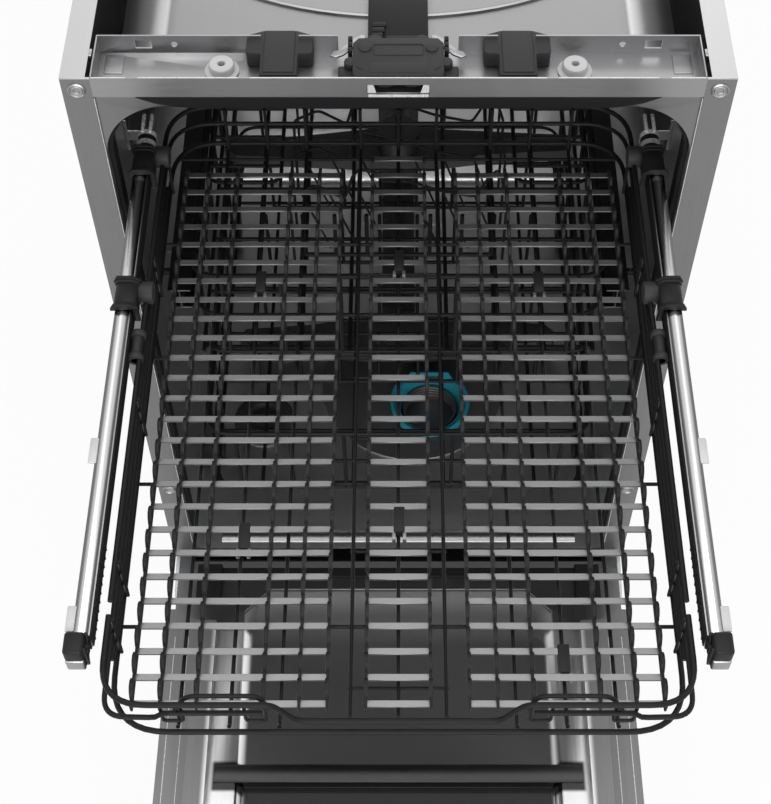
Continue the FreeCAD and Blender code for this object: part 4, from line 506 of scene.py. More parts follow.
# CAD nodes whose pieces are modelled anew
REMODELLED = (
    ("bright_plating", ("tray_inner_rails",)),
    ("hardware_steel", ("post_screws",)),
    ("wire_coating", ("tray_frame", "upper_basket", "lower_basket", "left_cup_shelf", "right_cup_shelf",
                      "folding_tines")),
    ("black_plastic", ("right_insert", "left_insert", "centre_insert", "rail_clips", "rail_end_caps",
                       "latch_hook")),
    ("lock_plastic", ("lock_housing", "rail_blocks")),
    ("pale_plastic", ("worktop_bushes",)),
    ("filter_plastic", ("filter_cylinder",)),
)


class DISHWASHER_OT_finishes(bpy.types.Operator):
    """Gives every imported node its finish"""
    bl_idname = "dishwasher.finishes"
    bl_label = "Finishes"

    def execute(self, context):
        build_groups()
        build_materials()
        for finish, *_, nodes in (*SKINS, *REMODELLED):
            for node in nodes:
                dress(node, finish)
        return {"FINISHED"}


# Stage: a pale floor, soft lamps and the camera of the photograph
CAMERA_PLACE = (0.0, -1010.4, 1522.5)
CAMERA_PITCH = 55.133
FOCAL_PIXELS = 1534.25
PRINCIPAL_X = 398.4
SENSOR = 36.0
CLIP_END = 60.0
# Each lamp: name, place and target in metres, size, power
LAMPS = (
    ("overhead", (0.0, -0.45, 2.60), (0.0, -0.45, 0.6), 1.9, 24.0),
    ("front", (0.0, -2.60, 1.70), (0.0, 0.0, 0.5), 2.2, 24.0),
    ("mouth", (0.0, -2.00, 1.05), (0.0, 0.15, 0.55), 1.2, 14.0),
    ("left", (-2.30, -0.60, 1.60), (0.0, -0.2, 0.5), 1.8, 12.0),
    ("right", (2.30, -0.40, 1.70), (0.0, -0.2, 0.5), 1.8, 14.0),
    ("rear", (0.2, 2.40, 2.00), (0.0, 0.2, 0.4), 2.0, 14.0),
)
# Floor and white surroundings, in metres
FLOOR_SIZE = 14.0
FLOOR_COLOUR, FLOOR_ROUGHNESS, FLOOR_WHITE = (0.8, 0.8, 0.8, 1.0), 0.7, 0.93
WHITE = (1.0, 1.0, 1.0, 1.0)
SOFT_LIGHT = 0.30


def white_for_rays(tree, lit, seen, output):
    """Mixes a shader for light with a plain white one for what the camera, gloss and glass see."""
    path = tree.nodes.new("ShaderNodeLightPath").outputs
    chosen = path["Is Camera Ray"]
    for kind in ("Is Glossy Ray", "Is Transmission Ray"):
        chosen = calculate(tree, "MAXIMUM", chosen, path[kind])
    mix = add_node(tree, "ShaderNodeMixShader", {"Fac": chosen, 1: lit.outputs[0], 2: seen.outputs[0]})
    connect(tree, output, {"Surface": mix.outputs[0]})


def make_floor(scene):
    bm = bmesh.new()
    bmesh.ops.create_grid(bm, x_segments=1, y_segments=1, size=FLOOR_SIZE / 2)
    mesh = bpy.data.meshes.new("floor")
    bm.to_mesh(mesh)
    bm.free()
    floor = bpy.data.objects.new("floor", mesh)
    scene.collection.objects.link(floor)
    paint = bpy.data.materials.new("floor_paint")
    paint.use_nodes = True
    tree = paint.node_tree
    lit = connect(tree, tree.nodes["Principled BSDF"],
                  {"Base Color": FLOOR_COLOUR, "Roughness": FLOOR_ROUGHNESS})
    bright = add_node(tree, "ShaderNodeEmission", {"Strength": 1.0})
    seen = add_node(tree, "ShaderNodeMixShader",
                    {"Fac": FLOOR_WHITE, 1: lit.outputs[0], 2: bright.outputs[0]})
    white_for_rays(tree, lit, seen, tree.nodes["Material Output"])
    mesh.materials.append(paint)


def make_surroundings(scene):
    world = scene.world or bpy.data.worlds.new("surroundings")
    scene.world = world
    world.use_nodes = True
    tree = world.node_tree
    soft = connect(tree, tree.nodes["Background"], {"Color": WHITE, "Strength": SOFT_LIGHT})
    seen = add_node(tree, "ShaderNodeBackground", {"Color": WHITE, "Strength": 1.0})
    white_for_rays(tree, soft, seen, tree.nodes["World Output"])


def make_lamps(scene):
    for name, place, target, size, power in LAMPS:
        lamp = bpy.data.lights.new(name, "AREA")
        lamp.shape = "SQUARE"
        lamp.size = size
        lamp.energy = power
        stand = bpy.data.objects.new(name, lamp)
        stand.location = place
        stand.rotation_euler = (Vector(target) - Vector(place)).to_track_quat("-Z", "Y").to_euler()
        scene.collection.objects.link(stand)


def make_camera(scene):
    lens = bpy.data.cameras.new("photo_camera")
    lens.sensor_width = SENSOR
    lens.lens = FOCAL_PIXELS * SENSOR / IMAGE_HEIGHT
    lens.shift_x = (IMAGE_WIDTH / 2 - PRINCIPAL_X) / IMAGE_HEIGHT
    lens.clip_end = CLIP_END
    view = bpy.data.objects.new("photo_camera", lens)
    view.location = mm(CAMERA_PLACE)
    view.rotation_euler = (math.radians(90.0 - CAMERA_PITCH), 0.0, 0.0)
    scene.collection.objects.link(view)
    scene.camera = view


class DISHWASHER_OT_stage(bpy.types.Operator):
    """Makes the floor, the lamps, the white surroundings and the camera"""
    bl_idname = "dishwasher.stage"
    bl_label = "Stage"

    def execute(self, context):
        context.scene.view_settings.view_transform = "Standard"
        for make in (make_floor, make_surroundings, make_lamps, make_camera):
            make(context.scene)
        return {"FINISHED"}


# Cutlery tray: frame of round wires
TRAY_HALF, TRAY_FRONT, TRAY_BACK = 172.6, FRONT - 392.0, FRONT + 92.0
TRAY_TOP, TRAY_LOW, TRAY_CORNER = 700.0, 661.0, 36.0
RIM_GAP_FRONT, RIM_GAP_BACK = FRONT - 334.7, FRONT - 325.5
DIP_START, DIP_OUTER, DIP_INNER, DIP_DEPTH = 100.0, 73.0, 60.0, 23.0
BEND_STEPS = 9
FLOOR_LEVEL, CROSS_LEVEL, FLOOR_RISE = TRAY_LOW - 2.4, TRAY_LOW - 4.5, TRAY_LOW + 13.0
FLOOR_WIRES = ((29.0, FLOOR_RISE), (71.0, TRAY_LOW), (101.0, TRAY_LOW), (131.5, TRAY_LOW))
TRAY_UPRIGHTS = (-301.0, -340.0, -180.0, -60.0, 40.0)
SHORT_CROSS, SHORT_CROSS_WIRES = 31.0, (-362.0, -267.0, -180.0, -129.0, -36.0, 68.0)
LONG_CROSS, LONG_CROSS_WIRES = TRAY_HALF - 1.0, (-320.6, -216.0, -112.0, -7.3, 79.0)
HOOK_PLACES = (84.0, 133.0)
# Radius of the side, slight, stout and short wires as a share of the rim's or the floor's wire
SIDE_SHARE, SLIGHT_SHARE, STOUT_SHARE, SHORT_SHARE = 0.92, 0.9, 1.1, 0.8


def from_rim(*points):
    """Points given across, behind and above the tray's front rim."""
    return [(x, TRAY_FRONT + y, TRAY_TOP + z) for x, y, z in points]


def rim_wires(bm, radius):
    """The front piece with its dip, the side and rear piece behind a short gap, and the lower loop."""
    bend = [(TRAY_HALF, RIM_GAP_FRONT, TRAY_TOP), (TRAY_HALF, TRAY_FRONT, TRAY_TOP),
            (DIP_START, TRAY_FRONT, TRAY_TOP)]
    dip = rounded(from_rim((DIP_START, 0.0, 0.0), (DIP_OUTER, 0.0, 0.0), (DIP_INNER, 0.0, -DIP_DEPTH),
                           (0.0, 0.0, -DIP_DEPTH)), 6.0, 4)
    wire(bm, both_sides(rounded(bend, TRAY_CORNER, BEND_STEPS)[:-1] + dip), radius)
    rear = [(TRAY_HALF, RIM_GAP_BACK, TRAY_TOP), (TRAY_HALF, TRAY_BACK, TRAY_TOP), (0.0, TRAY_BACK, TRAY_TOP)]
    wire(bm, both_sides(rounded(rear, TRAY_CORNER, BEND_STEPS)), radius)
    lower = [(-TRAY_HALF, TRAY_BACK, TRAY_LOW), (TRAY_HALF, TRAY_BACK, TRAY_LOW),
             (TRAY_HALF, TRAY_FRONT, TRAY_LOW), (-TRAY_HALF, TRAY_FRONT, TRAY_LOW)]
    wire(bm, rounded(lower, TRAY_CORNER, BEND_STEPS, closed=True), radius, closed=True)


def middle_wire(bm, radius):
    """The wire below the rim, which ends at the rim's dip."""
    sweep = [*from_rim((146.0, 0.0, -17.5), (TRAY_HALF, 0.0, -16.0), (TRAY_HALF, 70.0, -12.0)),
             (TRAY_HALF, TRAY_BACK - 70.0, TRAY_TOP - 12.0), (TRAY_HALF, TRAY_BACK, TRAY_TOP - 18.0),
             (0.0, TRAY_BACK, TRAY_TOP - 18.0)]
    ends = from_rim((79.0, 0.6, -12.6), (132.0, 0.6, -12.6), (137.0, 0.6, -13.0), (142.0, 0.0, -17.0))
    wire(bm, both_sides(ends + rounded(sweep, TRAY_CORNER, 8)), radius)


def floor_wire(bm, x, start, radius):
    line = [(x, TRAY_FRONT + 3.5, start), (x, TRAY_FRONT + 6.0, FLOOR_LEVEL),
            (x, TRAY_BACK - 3.0, FLOOR_LEVEL), (x, TRAY_BACK - 3.0, TRAY_TOP)]
    wire(bm, rounded(line, 6.0), radius)


def half_tray_wires(bm, rim, thin):
    """Wires of one half: side wire, uprights, a loop with two hooks behind the front rim and floor wires."""
    ends = (TRAY_BACK - 60.0, TRAY_FRONT + 40.0)
    wire(bm, [(TRAY_HALF, y, TRAY_TOP - 25.0) for y in ends], rim * SIDE_SHARE)
    inside = TRAY_HALF - 2.6
    for y in TRAY_UPRIGHTS:
        upright = [(inside, FRONT + y + 2.0, TRAY_TOP + 1.0), (inside, FRONT + y, TRAY_LOW)]
        wire(bm, upright, thin * SLIGHT_SHARE)
    loop = from_rim((76.0, 2.0, -10.0), (80.5, 5.4, 0.5), (123.0, 5.4, 0.5), (130.0, 2.0, -11.0))
    wire(bm, rounded(loop, 6.0, 4), thin * STOUT_SHARE)
    for x in HOOK_PLACES:
        hook = from_rim((x - 6.0, 3.4, -11.0), (x - 6.0, 3.4, -30.0), (x + 6.0, 3.4, -30.0),
                        (x + 6.0, 3.4, -11.0))
        wire(bm, rounded(hook, 3.0, 3), thin * SLIGHT_SHARE)
    for x, start in FLOOR_WIRES:
        floor_wire(bm, x, start, thin)


class DISHWASHER_OT_tray_frame(bpy.types.Operator):
    """Bends the wires of the cutlery tray"""
    bl_idname = "dishwasher.tray_frame"
    bl_label = "Tray frame"

    def execute(self, context):
        rim = sizes().tray_wire / MM
        thin = sizes().floor_wire / MM
        bm = bmesh.new()
        half_tray_wires(bm, rim, thin)
        mirror_x(bm)
        rim_wires(bm, rim)
        middle_wire(bm, rim * SIDE_SHARE)
        floor_wire(bm, 0.0, FLOOR_RISE, thin)
        for reach, places, radius in ((SHORT_CROSS, SHORT_CROSS_WIRES, thin * SHORT_SHARE),
                                      (LONG_CROSS, LONG_CROSS_WIRES, thin)):
            for y in places:
                wire(bm, [(-reach, FRONT + y, CROSS_LEVEL), (reach, FRONT + y, CROSS_LEVEL)], radius)
        finish_wires("tray_wires", bm, "tray", "tray_frame")
        return {"FINISHED"}


# Cutlery inserts: serrated combs and flat slats
COMB_LOW, COMB_HIGH = 663.0, 675.0
COMB_HALF, TOOTH_HALF, COMB_END = 0.8, 1.25, 4.0
LEAF = ((7.2, COMB_LOW + 5.0), (4.6, COMB_HIGH - 2.0), (2.0, COMB_HIGH))
SLAT_LOW, SLAT_HIGH = COMB_LOW + 1.4, COMB_LOW + 2.8
SIDE_COMBS = (42.7, 59.5, 81.0, 121.0, 142.7, 159.7)
CENTRE_COMBS = (-19.5, 19.5)
INSERT_START = TRAY_FRONT + 16.0
INSERTS = (
    ("right_insert", SIDE_COMBS, 25),
    ("left_insert", [-x for x in SIDE_COMBS], 25),
    ("centre_insert", CENTRE_COMBS, 26),
)
SNAP_HOOKS = ((0.5, -258.0), (101.0, -356.0), (-99.0, -270.0), (101.0, -60.0), (-99.0, -60.0), (0.5, -40.0))
HOOK_HALF, HOOK_LENGTH, PRONG_HALF, PRONG_PLACE = 3.6, 19.0, 1.2, 3.4


def comb(bm, x, teeth, pitch):
    """One serrated bar: a rail with a leaf-shaped tooth between each pair of slats."""
    box(bm, (x - COMB_HALF, INSERT_START - COMB_END, COMB_LOW),
        (x + COMB_HALF, INSERT_START + teeth * pitch + COMB_END, COMB_LOW + 6.5), 0.4, 1)
    for number in range(teeth):
        leaf = symmetric(LEAF, INSERT_START + (number + 0.5) * pitch)
        plate(bm, leaf, "X", x - TOOTH_HALF, x + TOOTH_HALF, 0.4)


def slats(bm, low, high, count, pitch, width):
    for number in range(count):
        y = INSERT_START + number * pitch
        box(bm, (low, y - width / 2, SLAT_LOW), (high, y + width / 2, SLAT_HIGH), 0.2, 1)


class DISHWASHER_OT_inserts(bpy.types.Operator):
    """Makes the serrated combs and the slats that hold the cutlery"""
    bl_idname = "dishwasher.inserts"
    bl_label = "Cutlery inserts"

    def execute(self, context):
        pitch, width = sizes().slat_pitch / MM, sizes().slat_width / MM
        for name, combs, teeth in INSERTS:
            bm = bmesh.new()
            for x in combs:
                comb(bm, x, teeth, pitch)
            finish_piece(f"{name}_combs", bm, "black_plastic", "tray", name)
            bm = bmesh.new()
            slats(bm, min(combs), max(combs), teeth + 1, pitch, width)
            finish_piece(f"{name}_slats", bm, "slat_plastic", "tray", name)
        hooks, prongs = bmesh.new(), bmesh.new()
        for x, near in SNAP_HOOKS:
            y = FRONT + near
            box(hooks, (x - HOOK_HALF, y, TRAY_LOW - 1.5),
                (x + HOOK_HALF, y + HOOK_LENGTH, COMB_LOW + 3.6), 0.8)
            for middle in (x - PRONG_PLACE, x + PRONG_PLACE):
                box(prongs, (middle - PRONG_HALF, y - 5.0, TRAY_LOW),
                    (middle + PRONG_HALF, y + 0.5, COMB_LOW + 2.6), 0.5)
        finish_piece("insert_hooks", hooks, "black_plastic", "tray")
        finish_piece("insert_prongs", prongs, "slat_plastic", "tray")
        return {"FINISHED"}


# Telescopic rails of the tray: a rolled lip with a painted highlight stripe and painted dark edges, a satin
# web and a dark slot with ribs
RAIL_FRONT, RAIL_BACK = FRONT - 352.0, FRONT + 46.0
RAIL_LOW, RAIL_TOP = 693.0, 710.0
RAIL_INNER, RAIL_OUTER = 181.0, 190.0
LIP_CENTRE, LIP_RADIUS = (186.4, 701.247), 8.753
WEB_INNER, WEB_OUTER, WEB_LOW, WEB_TOP = 180.7, 181.5, RAIL_LOW + 0.6, 708.4
SLEEVE_CENTRE, SLEEVE_INNER, SLEEVE_OUTER, SLEEVE_ROOF = (185.6, 703.4), 181.45, 189.9, 708.6
FORK_PLACES, FORK_LENGTH = ((44.0, 7.8), (53.5, 7.4)), 4.0
FORK_BARS, FORK_BAR_HALF, FORK_BAR_LOW, FORK_BAR_TOP = (182.6, 188.4), 1.3, 708.8, 711.6
RIB_COUNT, RIB_PITCH, RIB_PLACE = 11, 6.0, 179.9
TAB_PLACES, TAB_END, TAB_LOW, TAB_TOP = ((-233.0, -214.0), (-350.0, -333.0)), 195.6, 707.6, 709.6


def sleeve(bm, radius, near, far):
    """A round sleeve over a rail, open below and outside, where the inner rails run."""
    outline = arc(SLEEVE_CENTRE, radius, 32.0, 215.0, 16)
    outline += [(SLEEVE_INNER, outline[-1][1]), (SLEEVE_INNER, SLEEVE_ROOF), (SLEEVE_OUTER, SLEEVE_ROOF),
                (SLEEVE_OUTER, outline[0][1])]
    plate(bm, outline, "Y", near, far)


def finish_rails(name, bm, finish):
    mirror_x(bm)
    finish_piece(name, bm, finish, "tray", "tray_inner_rails")


class DISHWASHER_OT_tray_rails(bpy.types.Operator):
    """Makes the drawn-out rails of the cutlery tray"""
    bl_idname = "dishwasher.tray_rails"
    bl_label = "Tray rails"

    def execute(self, context):
        bm = bmesh.new()
        plate(bm, arc(LIP_CENTRE, LIP_RADIUS, 56.0, 124.0, 12), "Y", RAIL_FRONT, RAIL_BACK)
        box(bm, (RAIL_INNER, RAIL_FRONT, RAIL_LOW), (RAIL_OUTER, RAIL_BACK, RAIL_LOW + 1.4), 0.4)
        finish_rails("tray_rail_lips", bm, "bright_plating")

        bm = bmesh.new()
        for setback, radius in FORK_PLACES:
            sleeve(bm, radius, FRONT + setback, FRONT + setback + FORK_LENGTH)
        for x in FORK_BARS:
            box(bm, (x - FORK_BAR_HALF, FRONT + 55.0, FORK_BAR_LOW),
                (x + FORK_BAR_HALF, FRONT + 73.0, FORK_BAR_TOP), 0.9)
        finish_rails("tray_rail_forks", bm, "fork_steel")

        bm = bmesh.new()
        web = [(WEB_INNER, WEB_TOP), (WEB_INNER, WEB_LOW), (WEB_OUTER, WEB_LOW), (WEB_OUTER, WEB_TOP)]
        plate(bm, web, "Y", RAIL_FRONT, RAIL_BACK)
        finish_rails("tray_rail_webs", bm, "satin_plating")

        bm = bmesh.new()
        box(bm, (180.0, RAIL_FRONT, RAIL_LOW + 1.0), (180.6, RAIL_BACK, RAIL_TOP - 3.0), 0.2, 1)
        sleeve(bm, 7.1, FRONT + 30.0, FRONT + 56.0)
        for number in range(RIB_COUNT):
            y = RAIL_FRONT + 4.0 + number * RIB_PITCH
            wire(bm, [(RIB_PLACE, y, RAIL_LOW + 2.0), (RIB_PLACE, y + 5.0, RAIL_TOP - 3.5)], 0.6, 6)
        finish_rails("tray_rail_slots", bm, "black_plastic")

        bm = bmesh.new()
        for near, far in TAB_PLACES:
            box(bm, (RAIL_OUTER, FRONT + near, TAB_LOW), (TAB_END, FRONT + far, TAB_TOP), 0.9)
        finish_rails("tray_rail_tabs", bm, "pale_plastic")
        return {"FINISHED"}


# Fittings of the rails: caps at their front ends, clips with flared saddles and round bosses
CAP_FRONT, CAP_BACK, CAP_LEVEL = FRONT - 366.0, FRONT - 351.0, 702.0
CAP_INNER, CAP_OUTER, CAP_LOW, CAP_TOP = 183.2, 195.0, 691.0, 712.4
FLANGE_INNER, FLANGE_OUTER, FLANGE_LOW, FLANGE_TOP, FLANGE = 181.6, 184.0, 691.4, 711.0, 2.0
SADDLE_PLACES = (-98.5, 25.0)
SADDLE_STEPS = ((0.0, -10.0, 10.0), (1.0, -11.8, -8.6), (1.0, 8.6, 11.8), (2.0, -13.2, -11.0),
                (2.0, 11.0, 13.2))
BOSS_PLACES, BOSS_LEVEL = (-90.0, 38.0), 702.0
PIN_X, PIN_LEVEL, PIN_COLLARS = 175.4, 699.0, (-146.0, -127.0)


def saddle(grow):
    """Section of a clip that hooks over the rail, widened at its flared ends."""
    return [(177.0 - grow, 698.0), (179.1, 698.0), (179.1, 710.5), (189.4, 710.5), (190.6, 709.2),
            (192.4 + grow, 709.2), (192.2 + grow, 711.2), (189.8 + grow, 713.2 + grow), (181.0, 713.2 + grow),
            (177.4 - grow, 711.4)]


class DISHWASHER_OT_rail_fittings(bpy.types.Operator):
    """Makes the end caps of the rails and the clips that hang the tray on them"""
    bl_idname = "dishwasher.rail_fittings"
    bl_label = "Rail caps and clips"

    def execute(self, context):
        bm = bmesh.new()
        box(bm, (CAP_INNER, CAP_FRONT + 0.8, CAP_LOW), (CAP_OUTER, CAP_BACK, CAP_TOP), 2.0, 3)
        for near in (CAP_FRONT + 3.0, CAP_BACK - FLANGE):
            box(bm, (FLANGE_INNER, near, FLANGE_LOW), (FLANGE_OUTER, near + FLANGE, FLANGE_TOP), 0.6)
        drum(bm, (181.2, (CAP_FRONT + CAP_BACK) / 2 + 1.0, CAP_LEVEL), (1, 0, 0), 4.0, 3.6, 0.6, 20)
        for rise in (-8.6, 8.6):
            rib = [(182.4, CAP_FRONT + 4.0, CAP_LEVEL - rise), (182.4, CAP_BACK - 1.0, CAP_LEVEL + rise)]
            wire(bm, rib, 0.9, 6)
        mirror_x(bm)
        finish_piece("rail_caps", bm, "black_plastic", "tray", "rail_end_caps")

        bm = bmesh.new()
        box(bm, (183.6, CAP_FRONT, 690.8), (194.8, CAP_FRONT + 3.2, 701.5), 1.2, 3)
        mirror_x(bm)
        finish_piece("rail_cap_faces", bm, "screw_steel", "tray", "rail_end_caps")

        bm = bmesh.new()
        for setback in SADDLE_PLACES:
            for grow, near, far in SADDLE_STEPS:
                plate(bm, saddle(grow), "Y", FRONT + setback + near, FRONT + setback + far, 0.5)
        mirror_x(bm)
        finish_piece("tray_grips", bm, "black_plastic", "tray", "rail_clips")

        bm = bmesh.new()
        for setback in BOSS_PLACES:
            drum(bm, (167.6, FRONT + setback, BOSS_LEVEL), (1, 0, 0), 7.8, 10.6, 0.9, 28)
        drum(bm, (PIN_X, FRONT + PIN_COLLARS[0], PIN_LEVEL), (0, 1, 0), 3.6, 24.0, 0.8, 20)
        for setback in PIN_COLLARS:
            drum(bm, (PIN_X, FRONT + setback, PIN_LEVEL), (0, 1, 0), 5.4, 5.0, 1.2, 20)
        mirror_x(bm)
        finish_piece("tray_grip_bosses", bm, "lock_plastic", "tray", "rail_clips")
        return {"FINISHED"}


# Wire baskets
BASKET_SIDES, LENGTHWISE_WIRES, CROSSWISE_WIRES, SIDE_UPRIGHTS, END_UPRIGHTS = 8, 9, 8, 8, 7
BASKET_FRONT, BASKET_BACK = FRONT + 32.0, FRONT + 472.0
BASKET_LENGTH = BASKET_BACK - BASKET_FRONT
BASKET_MIDDLE = (BASKET_FRONT + BASKET_BACK) / 2
UPPER_HALF, UPPER_FLOOR, UPPER_RIM = 166.0, 472.0, 572.0
LOWER_HALF, LOWER_FLOOR, LOWER_RIM = 176.0, 252.0, 345.0
UPPER_TINES, LOWER_TINES, FOLDING_TINES = (0.24, 0.72), (0.46, 0.64, 0.82), 0.28
TINE_FOOT, FOLDING_FOOT, UPPER_TINE, LOWER_TINE = 2.7, 4.457, 55.0, 78.0
REST_WAVE = ((-92.0, 474.0), (-92.0, 560.0), (-69.8, 572.8), (-45.2, 555.9), (-38.2, 584.2), (-31.9, 592.0),
             (0.3, 581.5), (31.7, 567.2), (64.5, 558.6), (73.8, 578.8), (82.4, 592.0), (92.0, 560.0),
             (92.0, 474.0))
REST_ROWS, LEANING_ROWS = (130.0, 174.0, 218.0, 262.0), (130.0, 174.0)
LEANING_TINES = (-84.0, -60.0, -34.0, 12.0, 38.0, 64.0)
LEG_PLACES, LEG_OUTLINE = (110.0, 400.0), ((22.0, 268.0), (9.0, 195.5))
LEG_INNER, LEG_OUTER, AXLE_LEVEL = 177.8, 181.2, 204.3
SHELF_DEPTH, SHELF_HALF, SHELF_LEVEL = 62.0, 105.0, UPPER_RIM - 14.0


def basket(bm, half, floor, rim):
    """Floor wires, three loops and the uprights of a basket."""
    thin, thick = sizes().basket_wire / MM, sizes().rim_wire / MM
    for x in evenly(-half, half, LENGTHWISE_WIRES):
        wire(bm, [(x, BASKET_FRONT, floor), (x, BASKET_BACK, floor)], thin, BASKET_SIDES)
    for y in evenly(BASKET_FRONT + 7.0, BASKET_BACK - 7.0, CROSSWISE_WIRES):
        wire(bm, [(-half, y, floor - 3.2), (half, y, floor - 3.2)], thin, BASKET_SIDES)
    corners = [(-half, BASKET_FRONT), (half, BASKET_FRONT), (half, BASKET_BACK), (-half, BASKET_BACK)]
    for z, radius in ((rim, thick), ((floor + rim) / 2, thin), (floor, thin)):
        wire(bm, rounded([(x, y, z) for x, y in corners], 22.0, 6, closed=True), radius, closed=True)
    inset = BASKET_LENGTH * 0.07
    along = evenly(BASKET_FRONT + inset, BASKET_BACK - inset, SIDE_UPRIGHTS)
    across = evenly(-half * 0.86, half * 0.86, END_UPRIGHTS)
    uprights = [(x, y) for x in (-half, half) for y in along]
    uprights += [(x, y) for x in across for y in (BASKET_FRONT, BASKET_BACK)]
    for x, y in uprights:
        wire(bm, [(x, y, floor), (x, y, rim)], thin, BASKET_SIDES)


def tine_row(bm, half, count, share, low, high, radius):
    """A row of upright tines on a cross wire."""
    y = BASKET_FRONT + BASKET_LENGTH * share
    wire(bm, [(-half, y, low), (half, y, low)], radius * 1.1, BASKET_SIDES)
    for x in evenly(-half, half, count):
        wire(bm, [(x, y, low), (x, y, high)], radius, BASKET_SIDES)


def upper_basket(thin):
    bm = bmesh.new()
    basket(bm, UPPER_HALF, UPPER_FLOOR, UPPER_RIM)
    for share in UPPER_TINES:
        tine_row(bm, UPPER_HALF * 0.5, 7, share, UPPER_FLOOR + TINE_FOOT, UPPER_FLOOR + UPPER_TINE, thin)
    for setback in REST_ROWS:
        rest = rounded([(x, FRONT + setback, z) for x, z in REST_WAVE], 5.0, 3)
        wire(bm, rest, thin * 0.7, BASKET_SIDES)
    for setback in LEANING_ROWS:
        y = FRONT + setback + 16.0
        for x in LEANING_TINES:
            wire(bm, [(x, y, 547.0), (x + 24.0, y, 474.0)], thin * 0.55, BASKET_SIDES)
    finish_wires("upper_basket_wires", bm, "upper_basket", "upper_basket")


def lower_basket(thin):
    bm = bmesh.new()
    for setback in LEG_PLACES:
        y = FRONT + setback
        plate(bm, symmetric(LEG_OUTLINE, y), "X", LEG_INNER, LEG_OUTER, 0.8)
        drum(bm, (181.0, y, AXLE_LEVEL), (1, 0, 0), 5.0, 8.5, 0.6, 24)
    mirror_x(bm)
    basket(bm, LOWER_HALF, LOWER_FLOOR, LOWER_RIM)
    tine_half = LOWER_HALF * 0.78
    for share in LOWER_TINES:
        tine_row(bm, tine_half, 8, share, LOWER_FLOOR + TINE_FOOT, LOWER_FLOOR + LOWER_TINE, thin)
    finish_wires("lower_basket_wires", bm, "lower_basket", "lower_basket")
    bm = bmesh.new()
    foot = LOWER_FLOOR + FOLDING_FOOT
    tine_row(bm, tine_half, 8, FOLDING_TINES, foot, foot + LOWER_TINE, thin)
    finish_wires("folding_tine_wires", bm, "tines", "folding_tines")


def cup_shelf(name, side, thin):
    bm = bmesh.new()
    outer = side * (UPPER_HALF - 2 * thin - 0.3)
    inner = outer - side * SHELF_DEPTH
    near, far = BASKET_MIDDLE - SHELF_HALF, BASKET_MIDDLE + SHELF_HALF
    loop = [(outer, near, SHELF_LEVEL), (outer, far, SHELF_LEVEL), (inner, far, SHELF_LEVEL),
            (inner, near, SHELF_LEVEL)]
    wire(bm, rounded(loop, 12.0, 5, closed=True), thin, closed=True)
    for y in evenly(near + 19.0, far - 19.0, 6):
        wire(bm, [(outer, y, SHELF_LEVEL), (inner, y, SHELF_LEVEL)], thin * 0.9, BASKET_SIDES)
    finish_wires(f"{name}_shelf_wires", bm, f"{name}_shelf", f"{name}_cup_shelf")


class DISHWASHER_OT_baskets(bpy.types.Operator):
    """Bends the wires of both baskets, their tines and the cup shelves"""
    bl_idname = "dishwasher.baskets"
    bl_label = "Baskets"

    def execute(self, context):
        thin = sizes().basket_wire / MM
        upper_basket(thin)
        lower_basket(thin)
        for name, side in (("left", -1), ("right", 1)):
            cup_shelf(name, side, thin)
        return {"FINISHED"}


# Top rail: blocks, bushes, embossings and painted highlights on its folds; below it the tub's mouth
RAIL_FLOOR, RAIL_CROWN, RAIL_REAR = 800.0, 813.8, FRONT + 42.0
# Place of the painted highlight strips along the top rail's front fold
FOLD_LOW, FOLD_TOP, FOLD_FRONT, FOLD_BACK = 814.7, 815.0, FRONT + 0.05, FRONT + 1.1
BLOCK_X, BLOCK_FRONT = 80.0, FRONT + 6.0
BUSH_PLACE = (119.0, FRONT + 22.8, RAIL_FLOOR)
BUSH_OUTLINE = ((2.6, 0.0), (11.6, 0.0), (11.6, 1.2), (8.5, 1.6), (8.5, 6.2), (7.9, 7.0), (3.2, 7.4),
                (2.6, 7.0), (2.6, 0.0))
SCREW_LEVELS = (804.0, 299.0)
SCREW_OUTLINE = ((0.0, 0.3), (1.9, 0.3), (2.3, 1.0), (3.7, 1.2), (4.2, 0.5), (4.7, 0.5), (5.3, 1.1),
                 (6.2, 0.6), (6.3, 0.0), (0.0, 0.0))
TOP_BEAD_WIDTH, TOP_BEAD_DEPTH, TOP_BEAD_Y, TOP_BEAD_STEPS = 165.0, 100.0, FRONT + 188.0, 72
BROW_OUTLINE = ((176.0, 798.0), (164.0, 792.6), (152.0, 789.6), (140.0, 788.4))
# Places of the painted highlight wires along the door liner's folds
LINER_FOLDS = (203.2, 216.0)


def rail_blocks():
    bm = bmesh.new()
    half = [(12.5, BLOCK_FRONT), *arc((14.5, RAIL_REAR - 17.0), 2.0, 180.0, 90.0, 3),
            *arc((19.5, RAIL_REAR - 12.0), 3.0, -90.0, 0.0, 4),
            *arc((19.5, RAIL_REAR + 1.0), 3.0, 0.0, 90.0, 4), (11.5, RAIL_REAR + 7.2)]
    plate(bm, symmetric(half, BLOCK_X), "Z", RAIL_FLOOR, RAIL_CROWN - 1.4, 1.0)
    box(bm, (BLOCK_X - 10.5, FRONT + 8.0, RAIL_FLOOR + 4.0),
        (BLOCK_X + 10.5, RAIL_REAR + 6.0, RAIL_CROWN), 1.0, 3)
    for x in (BLOCK_X - 18.0, BLOCK_X + 18.0):
        drum(bm, (x, FRONT + 7.5, RAIL_FLOOR), (0, 0, 1), 3.0, 2.4, 0.5, 20)
    mirror_x(bm)
    finish_piece("rail_block_shells", bm, "lock_plastic", "cabinet", "rail_blocks")


def bushes():
    bm = bmesh.new()
    lathe(bm, BUSH_OUTLINE, BUSH_PLACE)
    mirror_x(bm)
    finish_piece("bush_rings", bm, "pale_plastic", "cabinet", "worktop_bushes")


